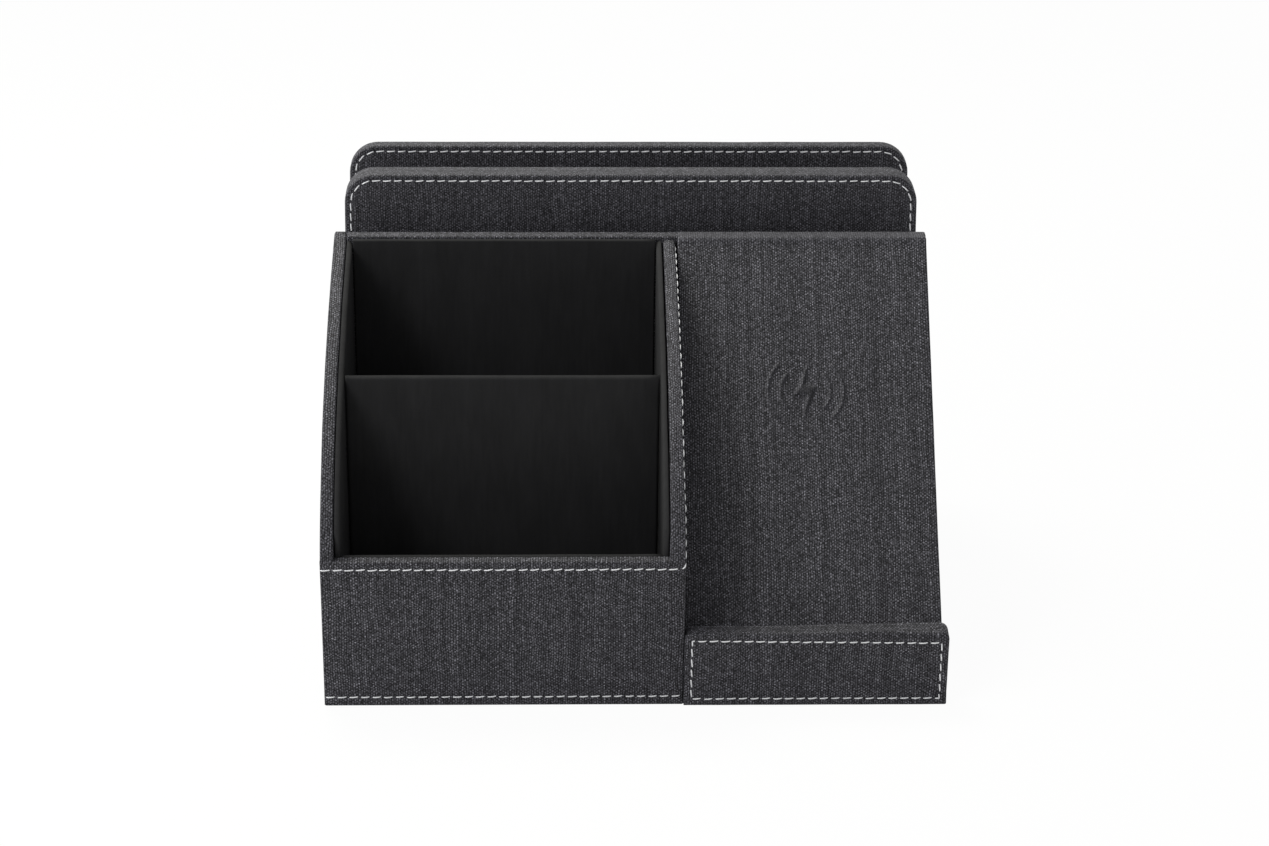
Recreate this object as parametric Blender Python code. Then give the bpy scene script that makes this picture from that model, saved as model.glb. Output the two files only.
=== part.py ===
"""Desk organiser: lined pen box, sloping wireless charging rest and a letter rack behind."""
import math

import bmesh
import bpy
from mathutils import Euler, Matrix, Vector

for old in list(bpy.data.objects):
    bpy.data.objects.remove(old, do_unlink=True)

MM = 0.001

# Body, measured from its left outer face, its front face and the desk
BODY_WIDTH = 240.0 * MM
BODY_DEPTH = 130.7 * MM
FRONT_HEIGHT = 62.2 * MM
BACK_HEIGHT = 145.9 * MM
PEN_BOX_WIDTH = 138.7 * MM
WALL = 5.0 * MM
CENTRE_WALL = 5.9 * MM
BACK_WALL = 5.6 * MM
WALL_EDGE = 0.9 * MM
WALL_FOOT = 0.2 * MM
FIT = 0.3 * MM

# Curved rim: the two middle handles as shares of the depth and of the rise
RIM_HANDLE_1 = (0.092, 0.359)
RIM_HANDLE_2 = (0.421, 0.778)
RIM_STEPS = 30

# Underside
FELT = 1.0 * MM
FELT_INSET = 2.0 * MM
FELT_EDGE = 0.3 * MM
BASE = 4.4 * MM
BASE_EDGE = 0.4 * MM

# Phone rest
PANEL_FOOT_HEIGHT = 15.7 * MM
PANEL_TOP_DROP = 0.4 * MM
PANEL_TOP_FLAT = 1.8 * MM
PANEL_COVER = 1.2 * MM
PANEL_COVER_EDGE = 0.3 * MM
COVER_FOOT = 0.7 * MM
PHONE_THICKNESS = 8.2 * MM
PANEL_BOARD = 5.0 * MM
PANEL_BOARD_EDGE = 0.6 * MM
LIP_HEIGHT = 31.4 * MM
LIP_THICKNESS = 8.0 * MM
LIP_PROUD = 1.4 * MM
LIP_OVERHANG = 0.9 * MM
LIP_CORNER = 3.2 * MM
LIP_EDGE = 1.6 * MM
LIP_FOOT_EDGE = 0.5 * MM
CLEAT_WIDTH = 6.0 * MM
CLEAT_DEPTH = 8.0 * MM
CLEAT_START = 20.0 * MM

# Letter rack
RACK_HEIGHT = 165.5 * MM
RACK_SIDE_STEP = 0.2 * MM
RACK_TAPER = 2.8 * MM
RACK_SHIFT = 0.8 * MM
RACK_CORNER = 12.0 * MM
RACK_EDGE = 1.0 * MM
RACK_FRONT_GAP = 12.3 * MM
RACK_FRONT_THICKNESS = 11.5 * MM
RACK_REAR_GAP = 24.2 * MM
RACK_REAR_THICKNESS = 7.0 * MM
RACK_FLOOR = 5.2 * MM

# Pen box lining
LINING = 2.2 * MM
LINING_EDGE = 0.5 * MM
LINING_DROP = 0.3 * MM
DIVIDER = 3.4 * MM
DIVIDER_BACK = 56.8 * MM
DIVIDER_DROP = 2.5 * MM

# Charging module, laid out on the slope
COIL_UP_SLOPE = 109.6 * MM
WIRE = 1.0 * MM
COIL_PITCH = 1.45 * MM
COIL_INNER = 9.0 * MM
COIL_TURNS = 10
TURN_POINTS = 24
COIL_HEADROOM = 0.9 * MM
FERRITE = 2.0 * MM
FERRITE_EDGE = 0.2 * MM
FERRITE_MARGIN = 1.0 * MM
FERRITE_SLOT = 3.6 * MM
FERRITE_SLOT_X = -2.0 * MM
TRAY_CORNER = 6.0 * MM
TRAY_WALL = 1.5 * MM
TRAY_FLOOR = 1.5 * MM
LEAD_GAP = 4.2 * MM
LEAD_X = 6.0 * MM
LEAD_EXIT = 2.3 * MM
LEAD_EXIT_INSET = 0.4 * MM
LEAD_DROP = 3.0 * MM

# Circuit board and inlet
PCB_LENGTH = 40.0 * MM
PCB_WIDTH = 30.0 * MM
PCB = 1.6 * MM
PCB_CORNER = 2.0 * MM
PCB_CENTRE_Y = 95.0 * MM
FOAM_PAD = 4.0 * MM
FOAM_INSET = 3.5 * MM
LEAD_PAD_INSET = 3.0 * MM
LEAD_PAD_SPACING = 4.0 * MM
SOCKET_DEPTH = 7.3 * MM
SOCKET_WIDTH = 8.94 * MM
SOCKET_HEIGHT = 3.26 * MM
SOCKET_WALL = 0.3 * MM
TONGUE = 0.7 * MM
TONGUE_SIDE = 0.8 * MM
TONGUE_RECESS = 0.9 * MM
PLUG_CLEARANCE = 2.1 * MM
SMALL_EDGE = 0.1 * MM

# Derived places
base_bottom = FELT + FIT
base_top = base_bottom + BASE
rest_left = PEN_BOX_WIDTH + FIT
rest_right = BODY_WIDTH
rest_centre = (rest_left + rest_right) / 2
right_inner = BODY_WIDTH - WALL
back_inner = BODY_DEPTH - BACK_WALL
lip_back = LIP_THICKNESS - LIP_PROUD
groove = lip_back + FIT
panel_end = back_inner - FIT
panel_turn = panel_end - PANEL_TOP_FLAT
panel_top = BACK_HEIGHT - PANEL_TOP_DROP
slope = math.atan2(panel_top - PANEL_FOOT_HEIGHT, panel_turn - groove)
centre_inner = PEN_BOX_WIDTH - CENTRE_WALL
rack_front_y = BODY_DEPTH + FIT + RACK_FRONT_GAP
rack_rear_y = rack_front_y + RACK_FRONT_THICKNESS + RACK_REAR_GAP
total_depth = rack_rear_y + RACK_REAR_THICKNESS
rack_centre = BODY_WIDTH / 2 + RACK_SHIFT
rack_half_width = BODY_WIDTH / 2 - RACK_SIDE_STEP
rack_foot = base_bottom + RACK_FLOOR + FIT
floor_top = base_top + FIT + LINING
panel_stack = PANEL_COVER + FIT + PANEL_BOARD

# The origin lies under the middle of the whole object
ORIGIN = Vector(((BODY_WIDTH + LIP_OVERHANG) / 2, (total_depth - LIP_PROUD) / 2, 0.0))

AXES = {
    "flat": (Vector((1, 0, 0)), Vector((0, 1, 0)), Vector((0, 0, 1))),
    "upright": (Vector((1, 0, 0)), Vector((0, 0, 1)), Vector((0, 1, 0))),
    "side": (Vector((0, 1, 0)), Vector((0, 0, 1)), Vector((1, 0, 0))),
}


def make_material(name, colour, roughness, metallic=0.0):
    """Plain shaded material with its own name."""
    material = bpy.data.materials.new(name)
    material.use_nodes = True
    shader = material.node_tree.nodes["Principled BSDF"]
    shader.inputs["Base Color"].default_value = (*colour, 1.0)
    shader.inputs["Roughness"].default_value = roughness
    shader.inputs["Metallic"].default_value = metallic
    return material


def cloth(name):
    """Charcoal linen-grain artificial leather."""
    return make_material(name, (0.043, 0.043, 0.048), 0.72)


def flannel(name):
    """Black flannel."""
    return make_material(name, (0.010, 0.010, 0.011), 0.95)


def fibreboard(name):
    """Bare brown fibreboard."""
    return make_material(name, (0.19, 0.14, 0.10), 0.85)


def add_object(name, bm, place, material, turn=None):
    """Finish a mesh: outward normals, smooth round parts, one material, its own origin."""
    bmesh.ops.recalc_face_normals(bm, faces=bm.faces)
    for edge in bm.edges:
        edge.smooth = len(edge.link_faces) == 2 and edge.calc_face_angle(0.0) < math.radians(50)
    mesh = bpy.data.meshes.new(name)
    bm.to_mesh(mesh)
    bm.free()
    mesh.materials.append(material)
    item = bpy.data.objects.new(name, mesh)
    item.location = Vector(place) - ORIGIN
    if turn is not None:
        item.rotation_euler = turn
    bpy.context.collection.objects.link(item)
    return item


def inset(outline, amounts):
    """Move each corner of a closed outline inwards by its own amount, edges kept parallel."""
    moved = []
    count = len(outline)
    for i in range(count):
        before = Vector(outline[i - 1])
        here = Vector(outline[i])
        after = Vector(outline[(i + 1) % count])
        d1 = (here - before).normalized()
        d2 = (after - here).normalized()
        n1 = Vector((-d1.y, d1.x))
        n2 = Vector((-d2.y, d2.x))
        moved.append(here + (n1 + n2) * (amounts[i] / (1.0 + n1.dot(n2))))
    return moved


def add_loop(bm, points, height, axes):
    """One ring of vertices at a height over the outline's plane; the height may be a list."""
    heights = height if isinstance(height, list) else [height] * len(points)
    return [bm.verts.new(p[0] * axes[0] + p[1] * axes[1] + h * axes[2]) for p, h in zip(points, heights)]


def join_loops(bm, first, second):
    """Smooth band between two rings with the same count."""
    count = len(first)
    for i in range(count):
        j = (i + 1) % count
        face = bm.faces.new((first[i], first[j], second[j], second[i]))
        face.smooth = True


def plate(name, outline, thickness, edge, plane, place, material, steps=3, turn=None):
    """Board of one thickness whose edges are rolled over on both faces, as far as it is thick."""
    axes = AXES[plane]
    edges = edge if isinstance(edge, list) else [edge] * len(outline)
    edges = [min(e, 0.48 * thickness) for e in edges]
    bm = bmesh.new()
    rings = []
    for k in range(steps + 1):
        angle = math.pi / 2 * k / steps
        points = inset(outline, [e * (1 - math.sin(angle)) for e in edges])
        rings.append(add_loop(bm, points, [e * (1 - math.cos(angle)) for e in edges], axes))
    for k in range(steps, -1, -1):
        angle = math.pi / 2 * k / steps
        points = inset(outline, [e * (1 - math.sin(angle)) for e in edges])
        rings.append(add_loop(bm, points, [thickness - e * (1 - math.cos(angle)) for e in edges], axes))
    for first, second in zip(rings, rings[1:]):
        join_loops(bm, first, second)
    bm.faces.new(rings[0])
    bm.faces.new(rings[-1])
    return add_object(name, bm, place, material, turn)


def cup(name, outline, depth, wall, floor, plane, place, material, turn=None):
    """Open dish: outline at the outside, its mouth on the far side."""
    axes = AXES[plane]
    bm = bmesh.new()
    inner = inset(outline, [wall] * len(outline))
    rings = [
        add_loop(bm, outline, 0.0, axes),
        add_loop(bm, outline, depth, axes),
        add_loop(bm, inner, depth, axes),
        add_loop(bm, inner, floor, axes),
    ]
    for first, second in zip(rings, rings[1:]):
        join_loops(bm, first, second)
    bm.faces.new(rings[0])
    bm.faces.new(rings[-1])
    return add_object(name, bm, place, material, turn)


def rectangle(x0, y0, x1, y1):
    """Four corners, anticlockwise."""
    return [(x0, y0), (x1, y0), (x1, y1), (x0, y1)]


def corner_arc(centre, radius, start, steps=8):
    """Quarter of a circle, anticlockwise from the start angle in degrees."""
    points = []
    for k in range(steps + 1):
        angle = math.radians(start + 90 * k / steps)
        points.append((centre[0] + radius * math.cos(angle), centre[1] + radius * math.sin(angle)))
    return points


def rounded_rectangle(width, height, radius, steps=5):
    """Rounded rectangle about its middle, anticlockwise."""
    x = width / 2 - radius
    y = height / 2 - radius
    points = []
    for centre, start in (((x, y), 0), ((-x, y), 90), ((-x, -y), 180), ((x, -y), 270)):
        points += corner_arc(centre, radius, start, steps)
    return points


def cut(target, cutter_name, outline, thickness, plane, place, turn=None):
    """Cut an opening with a hidden straight prism."""
    bm = bmesh.new()
    rings = [add_loop(bm, outline, height, AXES[plane]) for height in (0.0, thickness)]
    join_loops(bm, rings[0], rings[1])
    bm.faces.new(rings[0])
    bm.faces.new(rings[1])
    cutter = add_object(cutter_name, bm, place, cutter_material, turn)
    cutter.hide_render = True
    cutter.display_type = "WIRE"
    tool = target.modifiers.new("opening", "BOOLEAN")
    tool.operation = "DIFFERENCE"
    tool.solver = "EXACT"
    tool.object = cutter


def rim_point(t):
    """Point on the curved rim of the pen box, t from front to back."""
    rise = BACK_HEIGHT - FRONT_HEIGHT
    handles = (
        (0.0, FRONT_HEIGHT),
        (RIM_HANDLE_1[0] * BODY_DEPTH, FRONT_HEIGHT + RIM_HANDLE_1[1] * rise),
        (RIM_HANDLE_2[0] * BODY_DEPTH, FRONT_HEIGHT + RIM_HANDLE_2[1] * rise),
        (BODY_DEPTH, BACK_HEIGHT),
    )
    weights = ((1 - t) ** 3, 3 * t * (1 - t) ** 2, 3 * t * t * (1 - t), t ** 3)
    return (
        sum(w * h[0] for w, h in zip(weights, handles)),
        sum(w * h[1] for w, h in zip(weights, handles)),
    )


def rim_height(y):
    """Height of the rim at a distance from the front face."""
    low, high = 0.0, 1.0
    for _ in range(40):
        middle = (low + high) / 2
        if rim_point(middle)[0] < y:
            low = middle
        else:
            high = middle
    return rim_point(low)[1]


def rim_run(y0, y1, drop, steps=RIM_STEPS):
    """Points along the rim from the back to the front, lowered by a drop."""
    points = []
    for k in range(steps + 1):
        y = y1 + (y0 - y1) * (math.sin(math.pi / 2 * k / steps))
        points.append((y, rim_height(y) - drop))
    return points


def panel_height(y, depth):
    """Height of the plane that lies a depth below the phone panel's face."""
    return panel_top - (panel_turn - y) * math.tan(slope) - depth / math.cos(slope)


def level_start(depth):
    """Place at which a layer that lies a depth below the phone panel's face turns level."""
    return panel_turn + depth * math.tan(slope / 2)


cutter_material = make_material("cutter", (0.5, 0.5, 0.5), 0.5)

# Side boards of the pen box
plate(
    "left_side_board",
    [(0.0, WALL_FOOT), (BODY_DEPTH, WALL_FOOT)] + rim_run(0.0, BODY_DEPTH, 0.0),
    WALL, WALL_EDGE, "side", (0, 0, 0), cloth("cloth_left_side"),
)
plate(
    "centre_side_board",
    [(0.0, WALL_FOOT), (WALL, WALL_FOOT), (WALL, base_top + FIT), (panel_end, base_top + FIT)]
    + rim_run(0.0, panel_end, 0.0),
    CENTRE_WALL, WALL_EDGE, "side", (centre_inner, 0, 0), cloth("cloth_centre_side"),
)

# Front and back boards stand between and behind the side boards
plate(
    "pen_box_front_board",
    rectangle(WALL + FIT, WALL_FOOT, centre_inner - FIT, FRONT_HEIGHT),
    WALL, WALL_EDGE, "upright", (0, 0, 0), cloth("cloth_front"),
)
plate(
    "back_board",
    rectangle(WALL + FIT, base_top + FIT, BODY_WIDTH, BACK_HEIGHT),
    BACK_WALL, WALL_EDGE, "upright", (0, back_inner, 0), cloth("cloth_back"),
)

# Right side board: its top follows the underside of the phone panel
right_side = plate(
    "right_side_board",
    [
        (groove, WALL_FOOT),
        (BODY_DEPTH, WALL_FOOT),
        (BODY_DEPTH, base_top),
        (panel_end, base_top),
        (panel_end, panel_height(panel_end, panel_stack + FIT)),
        (groove, panel_height(groove, panel_stack + FIT)),
    ],
    WALL, WALL_EDGE, "side", (right_inner, 0, 0), cloth("cloth_right_side"),
)

# Base board and felt
plate(
    "base_board",
    [
        (WALL + FIT, WALL + FIT),
        (PEN_BOX_WIDTH, WALL + FIT),
        (PEN_BOX_WIDTH, groove),
        (right_inner - FIT, groove),
        (right_inner - FIT, BODY_DEPTH),
        (WALL + FIT, BODY_DEPTH),
    ],
    BASE, BASE_EDGE, "flat", (0, 0, base_bottom), fibreboard("fibreboard_base"), 1,
)
plate(
    "base_felt",
    rectangle(
        WALL + FELT_INSET, lip_back + FELT_INSET, right_inner - FELT_INSET, BODY_DEPTH - FELT_INSET,
    ),
    FELT, FELT_EDGE, "flat", (0, 0, 0), flannel("felt_base"), 1,
)

# Phone panel: board with a window for the charging tray, and its cover
coil_outer = COIL_INNER + COIL_PITCH * COIL_TURNS
ferrite_half = coil_outer + WIRE / 2 + FERRITE_MARGIN
tray_inner_half = ferrite_half + LEAD_GAP
tray_size = 2 * (tray_inner_half + TRAY_WALL)
tray_depth = TRAY_FLOOR + FIT + FERRITE + FIT + WIRE + COIL_HEADROOM
tray_turn = Euler((slope, 0, 0))
slope_matrix = Matrix.Rotation(slope, 4, "X")
groove_point = Vector((rest_centre, groove, panel_height(groove, 0.0)))


def on_slope(x, up, out):
    """Plan position of a point given by its place across, up and out of the phone panel."""
    return groove_point + slope_matrix @ Vector((x, up, out))


board_depth = PANEL_COVER + FIT
panel_board = plate(
    "phone_panel_board",
    [
        (groove, panel_height(groove, panel_stack)),
        (panel_end, panel_height(panel_end, panel_stack)),
        (panel_end, panel_top - board_depth),
        (level_start(board_depth), panel_top - board_depth),
        (groove, panel_height(groove, board_depth)),
    ],
    rest_right - rest_left, PANEL_BOARD_EDGE, "side", (rest_left, 0, 0), cloth("cloth_panel_board"),
)
# The cover is flat as far down as a phone can lie with its foot against the lip, then thins to its end
flat_start = lip_back + PHONE_THICKNESS * math.sin(slope)
plate(
    "phone_panel_cover",
    [
        (groove, panel_height(groove, PANEL_COVER)),
        (level_start(PANEL_COVER), panel_top - PANEL_COVER),
        (panel_end, panel_top - PANEL_COVER),
        (panel_end, panel_top),
        (panel_turn, panel_top),
        (flat_start, panel_height(flat_start, 0.0)),
        (groove, panel_height(groove, PANEL_COVER - COVER_FOOT)),
    ],
    rest_right - rest_left, min(PANEL_COVER_EDGE, 0.43 * COVER_FOOT), "side", (rest_left, 0, 0),
    cloth("cloth_panel_cover"),
)
cut(
    panel_board, "tray_window",
    rounded_rectangle(tray_size + 2 * FIT, tray_size + 2 * FIT, TRAY_CORNER + FIT),
    3 * PANEL_BOARD, "flat", on_slope(0, COIL_UP_SLOPE, -panel_stack - PANEL_BOARD), tray_turn,
)
cleat_top = panel_stack + FIT
cleat_front = groove + CLEAT_START
plate(
    "panel_cleat",
    [
        (cleat_front, panel_height(cleat_front, cleat_top + CLEAT_DEPTH)),
        (panel_end, panel_height(panel_end, cleat_top + CLEAT_DEPTH)),
        (panel_end, panel_height(panel_end, cleat_top)),
        (cleat_front, panel_height(cleat_front, cleat_top)),
    ],
    CLEAT_WIDTH, BASE_EDGE, "side", (rest_left, 0, 0), fibreboard("fibreboard_cleat"), 1,
)

# Lip in front of the phone rest
lip_width = BODY_WIDTH + LIP_OVERHANG - rest_left
lip_top = LIP_HEIGHT - WALL_FOOT
lip_outline = (
    [(0.0, 0.0), (lip_width, 0.0)]
    + corner_arc((lip_width - LIP_CORNER, lip_top - LIP_CORNER), LIP_CORNER, 0, 6)
    + corner_arc((LIP_CORNER, lip_top - LIP_CORNER), LIP_CORNER, 90, 6)
)
lip_edges = [LIP_FOOT_EDGE] * 2 + [LIP_EDGE] * (len(lip_outline) - 2)
plate(
    "phone_lip_board", lip_outline, LIP_THICKNESS, lip_edges, "upright",
    (rest_left, -LIP_PROUD, WALL_FOOT), cloth("cloth_lip"), 4,
)

# Letter rack: floor board with felt, and two upright panels
plate(
    "rack_floor_board",
    rectangle(-rack_half_width, 0.0, rack_half_width, total_depth - BODY_DEPTH - FIT),
    RACK_FLOOR, WALL_EDGE, "flat", (rack_centre, BODY_DEPTH + FIT, base_bottom), cloth("cloth_rack_floor"),
)
plate(
    "rack_felt",
    rectangle(
        -rack_half_width + 2 * FELT_INSET, FELT_INSET,
        rack_half_width - 2 * FELT_INSET, total_depth - BODY_DEPTH - FELT_INSET,
    ),
    FELT, FELT_EDGE, "flat", (rack_centre, BODY_DEPTH, 0), flannel("felt_rack"), 1,
)


def rack_outline():
    """Upright panel: slightly narrower at the top, two rounded top corners."""
    height = RACK_HEIGHT - rack_foot
    top = rack_half_width - RACK_TAPER
    right = corner_arc((top - RACK_CORNER, height - RACK_CORNER), RACK_CORNER, 0)
    left = corner_arc((-top + RACK_CORNER, height - RACK_CORNER), RACK_CORNER, 90)
    return [(-rack_half_width, 0.0), (rack_half_width, 0.0)] + right + left


for rack_name, rack_y, rack_thickness in (
    ("rack_front_panel", rack_front_y, RACK_FRONT_THICKNESS),
    ("rack_rear_panel", rack_rear_y, RACK_REAR_THICKNESS),
):
    plate(
        rack_name, rack_outline(), rack_thickness, RACK_EDGE, "upright",
        (rack_centre, rack_y, rack_foot), cloth("cloth_" + rack_name),
    )

# Flannel lining of the pen box
lining_left = WALL + FIT
lining_right = centre_inner - FIT
lining_front = WALL + FIT
lining_back = panel_end
plate(
    "lining_floor",
    rectangle(lining_left, lining_front, lining_right, lining_back),
    LINING, LINING_EDGE, "flat", (0, 0, base_top + FIT), flannel("flannel_floor"), 2,
)
side_lining = [(lining_front, floor_top + FIT), (lining_back, floor_top + FIT)]
side_lining += rim_run(lining_front, lining_back, LINING_DROP)
for lining_name, lining_x in (("lining_left", lining_left), ("lining_right", lining_right - LINING)):
    plate(
        lining_name, side_lining, LINING, LINING_EDGE, "side",
        (lining_x, 0, 0), flannel("flannel_" + lining_name), 2,
    )
bay_left = lining_left + LINING + FIT
bay_right = lining_right - LINING - FIT
divider_front = DIVIDER_BACK - DIVIDER
for lining_name, lining_y, lining_top, lining_thickness in (
    ("lining_front", lining_front, FRONT_HEIGHT - LINING_DROP, LINING),
    ("pen_box_divider", divider_front, rim_height(DIVIDER_BACK) - DIVIDER_DROP, DIVIDER),
    ("lining_back", lining_back - LINING, BACK_HEIGHT - LINING_DROP - LINING_EDGE, LINING),
):
    plate(
        lining_name, rectangle(bay_left, floor_top + FIT, bay_right, lining_top),
        lining_thickness, LINING_EDGE, "upright", (0, lining_y, 0), flannel("flannel_" + lining_name), 2,
    )

# Charging tray in the window of the panel board
plastic = make_material("moulded_plastic", (0.02, 0.02, 0.022), 0.5)
tray_bottom = -PANEL_COVER - FIT - tray_depth
tray = cup(
    "charger_tray", rounded_rectangle(tray_size, tray_size, TRAY_CORNER), tray_depth, TRAY_WALL, TRAY_FLOOR,
    "flat", on_slope(0, COIL_UP_SLOPE, tray_bottom), plastic, tray_turn,
)
cut(
    tray, "lead_opening",
    rectangle(
        -LEAD_X - LEAD_EXIT, -tray_inner_half + LEAD_EXIT_INSET,
        LEAD_X + LEAD_EXIT, -ferrite_half - LEAD_EXIT_INSET,
    ),
    3 * TRAY_FLOOR, "flat", on_slope(0, COIL_UP_SLOPE, tray_bottom - TRAY_FLOOR), tray_turn,
)
slot_end = -COIL_INNER + 1.6 * WIRE
plate(
    "ferrite_plate",
    [
        (-ferrite_half, -ferrite_half),
        (FERRITE_SLOT_X - FERRITE_SLOT / 2, -ferrite_half),
        (FERRITE_SLOT_X - FERRITE_SLOT / 2, slot_end),
        (FERRITE_SLOT_X + FERRITE_SLOT / 2, slot_end),
        (FERRITE_SLOT_X + FERRITE_SLOT / 2, -ferrite_half),
        (ferrite_half, -ferrite_half),
        (ferrite_half, ferrite_half),
        (-ferrite_half, ferrite_half),
    ],
    FERRITE, FERRITE_EDGE, "flat", on_slope(0, COIL_UP_SLOPE, tray_bottom + TRAY_FLOOR + FIT),
    make_material("ferrite", (0.03, 0.03, 0.033), 0.6), 1, tray_turn,
)


def smooth_path(points, samples):
    """Curve through all points, its bends as tight as the shorter stretch beside them."""
    heads = []
    for i in range(len(points)):
        heads.append((points[min(i + 1, len(points) - 1)] - points[max(i - 1, 0)]).normalized())
    path = []
    for i in range(len(points) - 1):
        stretch = (points[i + 1] - points[i]).length
        for k in range(samples):
            t = k / samples
            path.append(
                points[i] * (2 * t ** 3 - 3 * t * t + 1)
                + heads[i] * (stretch * (t ** 3 - 2 * t * t + t))
                + points[i + 1] * (3 * t * t - 2 * t ** 3)
                + heads[i + 1] * (stretch * (t ** 3 - t * t))
            )
    path.append(points[-1])
    return path


def wire(name, path, diameter, place, material):
    """Round wire along a path, closed at both ends."""
    curve = bpy.data.curves.new(name, "CURVE")
    curve.dimensions = "3D"
    curve.bevel_depth = diameter / 2
    curve.bevel_resolution = 1
    curve.use_fill_caps = True
    curve.materials.append(material)
    spline = curve.splines.new("POLY")
    spline.points.add(len(path) - 1)
    for point, position in zip(spline.points, path):
        point.co = (*(position - place), 1.0)
    item = bpy.data.objects.new(name, curve)
    item.location = place - ORIGIN
    bpy.context.collection.objects.link(item)
    return item


# Circuit board on its foam pad, and the inlet through the right side board
pcb_right = right_inner - FIT
pcb_left = pcb_right - PCB_LENGTH
pad_bottom = base_top + FIT
pcb_bottom = pad_bottom + FOAM_PAD + FIT
pcb_top = pcb_bottom + PCB
pcb_centre_x = pcb_right - PCB_LENGTH / 2
plate(
    "pcb_foam_pad",
    rectangle(
        -PCB_LENGTH / 2 + FOAM_INSET, -PCB_WIDTH / 2 + FOAM_INSET,
        PCB_LENGTH / 2 - FOAM_INSET, PCB_WIDTH / 2 - FOAM_INSET,
    ),
    FOAM_PAD, FELT_EDGE, "flat", (pcb_centre_x, PCB_CENTRE_Y, pad_bottom),
    make_material("foam", (0.05, 0.05, 0.05), 0.95), 1,
)
plate(
    "charger_pcb",
    rounded_rectangle(PCB_LENGTH, PCB_WIDTH, PCB_CORNER, 4),
    PCB, SMALL_EDGE, "flat", (pcb_centre_x, PCB_CENTRE_Y, pcb_bottom),
    make_material("circuit_board", (0.01, 0.09, 0.04), 0.45), 1,
)
socket_bottom = pcb_top + FIT
socket_middle = socket_bottom + SOCKET_HEIGHT / 2
socket_outline = rounded_rectangle(SOCKET_WIDTH, SOCKET_HEIGHT, 0.49 * SOCKET_HEIGHT, 6)
cup(
    "usb_c_shell", socket_outline, SOCKET_DEPTH, SOCKET_WALL, SOCKET_WALL, "side",
    (pcb_right - SOCKET_DEPTH, PCB_CENTRE_Y, socket_middle),
    make_material("socket_steel", (0.55, 0.55, 0.56), 0.3, 1.0),
)
tongue_width = SOCKET_WIDTH - 2 * (SOCKET_WALL + TONGUE_SIDE)
plate(
    "usb_c_tongue",
    rectangle(-tongue_width / 2, -TONGUE / 2, tongue_width / 2, TONGUE / 2),
    SOCKET_DEPTH - SOCKET_WALL - FIT - TONGUE_RECESS, SMALL_EDGE, "side",
    (pcb_right - SOCKET_DEPTH + SOCKET_WALL + FIT, PCB_CENTRE_Y, socket_middle),
    make_material("socket_tongue", (0.03, 0.03, 0.03), 0.5), 1,
)
inlet_width = SOCKET_WIDTH + 2 * PLUG_CLEARANCE
inlet_height = SOCKET_HEIGHT + 2 * PLUG_CLEARANCE
cut(
    right_side, "inlet_opening",
    rounded_rectangle(inlet_width, inlet_height, 0.45 * inlet_height, 6),
    3 * WALL, "side", (right_inner - WALL, PCB_CENTRE_Y, socket_middle),
)

# Small parts on the circuit board: place on the board, size, edge, colour
chip_black = (0.012, 0.012, 0.013)
capacitor_tan = (0.30, 0.19, 0.10)
for part_name, part_x, part_y, part_w, part_d, part_h, part_colour in (
    ("controller_chip", -4.0 * MM, 7.0 * MM, 5.0 * MM, 5.0 * MM, 0.9 * MM, chip_black),
    ("power_stage_chip", 3.5 * MM, 7.0 * MM, 4.0 * MM, 4.0 * MM, 0.9 * MM, chip_black),
    ("resonance_capacitor_1", -9.0 * MM, -8.0 * MM, 3.2 * MM, 2.5 * MM, 2.0 * MM, capacitor_tan),
    ("resonance_capacitor_2", -9.0 * MM, -4.5 * MM, 3.2 * MM, 2.5 * MM, 2.0 * MM, capacitor_tan),
    ("resonance_capacitor_3", -4.5 * MM, -8.0 * MM, 3.2 * MM, 2.5 * MM, 2.0 * MM, capacitor_tan),
    ("resonance_capacitor_4", -4.5 * MM, -4.5 * MM, 3.2 * MM, 2.5 * MM, 2.0 * MM, capacitor_tan),
    ("power_inductor", 4.0 * MM, -6.0 * MM, 6.0 * MM, 6.0 * MM, 3.0 * MM, (0.06, 0.06, 0.065)),
):
    plate(
        part_name, rectangle(-part_w / 2, -part_d / 2, part_w / 2, part_d / 2), part_h, SMALL_EDGE, "flat",
        (pcb_centre_x + part_x, PCB_CENTRE_Y + part_y, pcb_top + FIT),
        make_material("mat_" + part_name, part_colour, 0.5), 1,
    )

# Coil: one litz wire from the circuit board, round the spiral and back
coil_level = tray_bottom + TRAY_FLOOR + FIT + FERRITE + FIT + WIRE / 2
slot_level = tray_bottom + TRAY_FLOOR + FIT + WIRE / 2
start_angle = -math.pi / 2 + 0.16
spiral = []
for step in range(COIL_TURNS * TURN_POINTS + 1):
    share = step / (COIL_TURNS * TURN_POINTS)
    angle = start_angle - 2 * math.pi * COIL_TURNS * share
    radius = coil_outer + (COIL_INNER - coil_outer) * share
    spiral.append(Vector((radius * math.cos(angle), radius * math.sin(angle), coil_level)))

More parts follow.
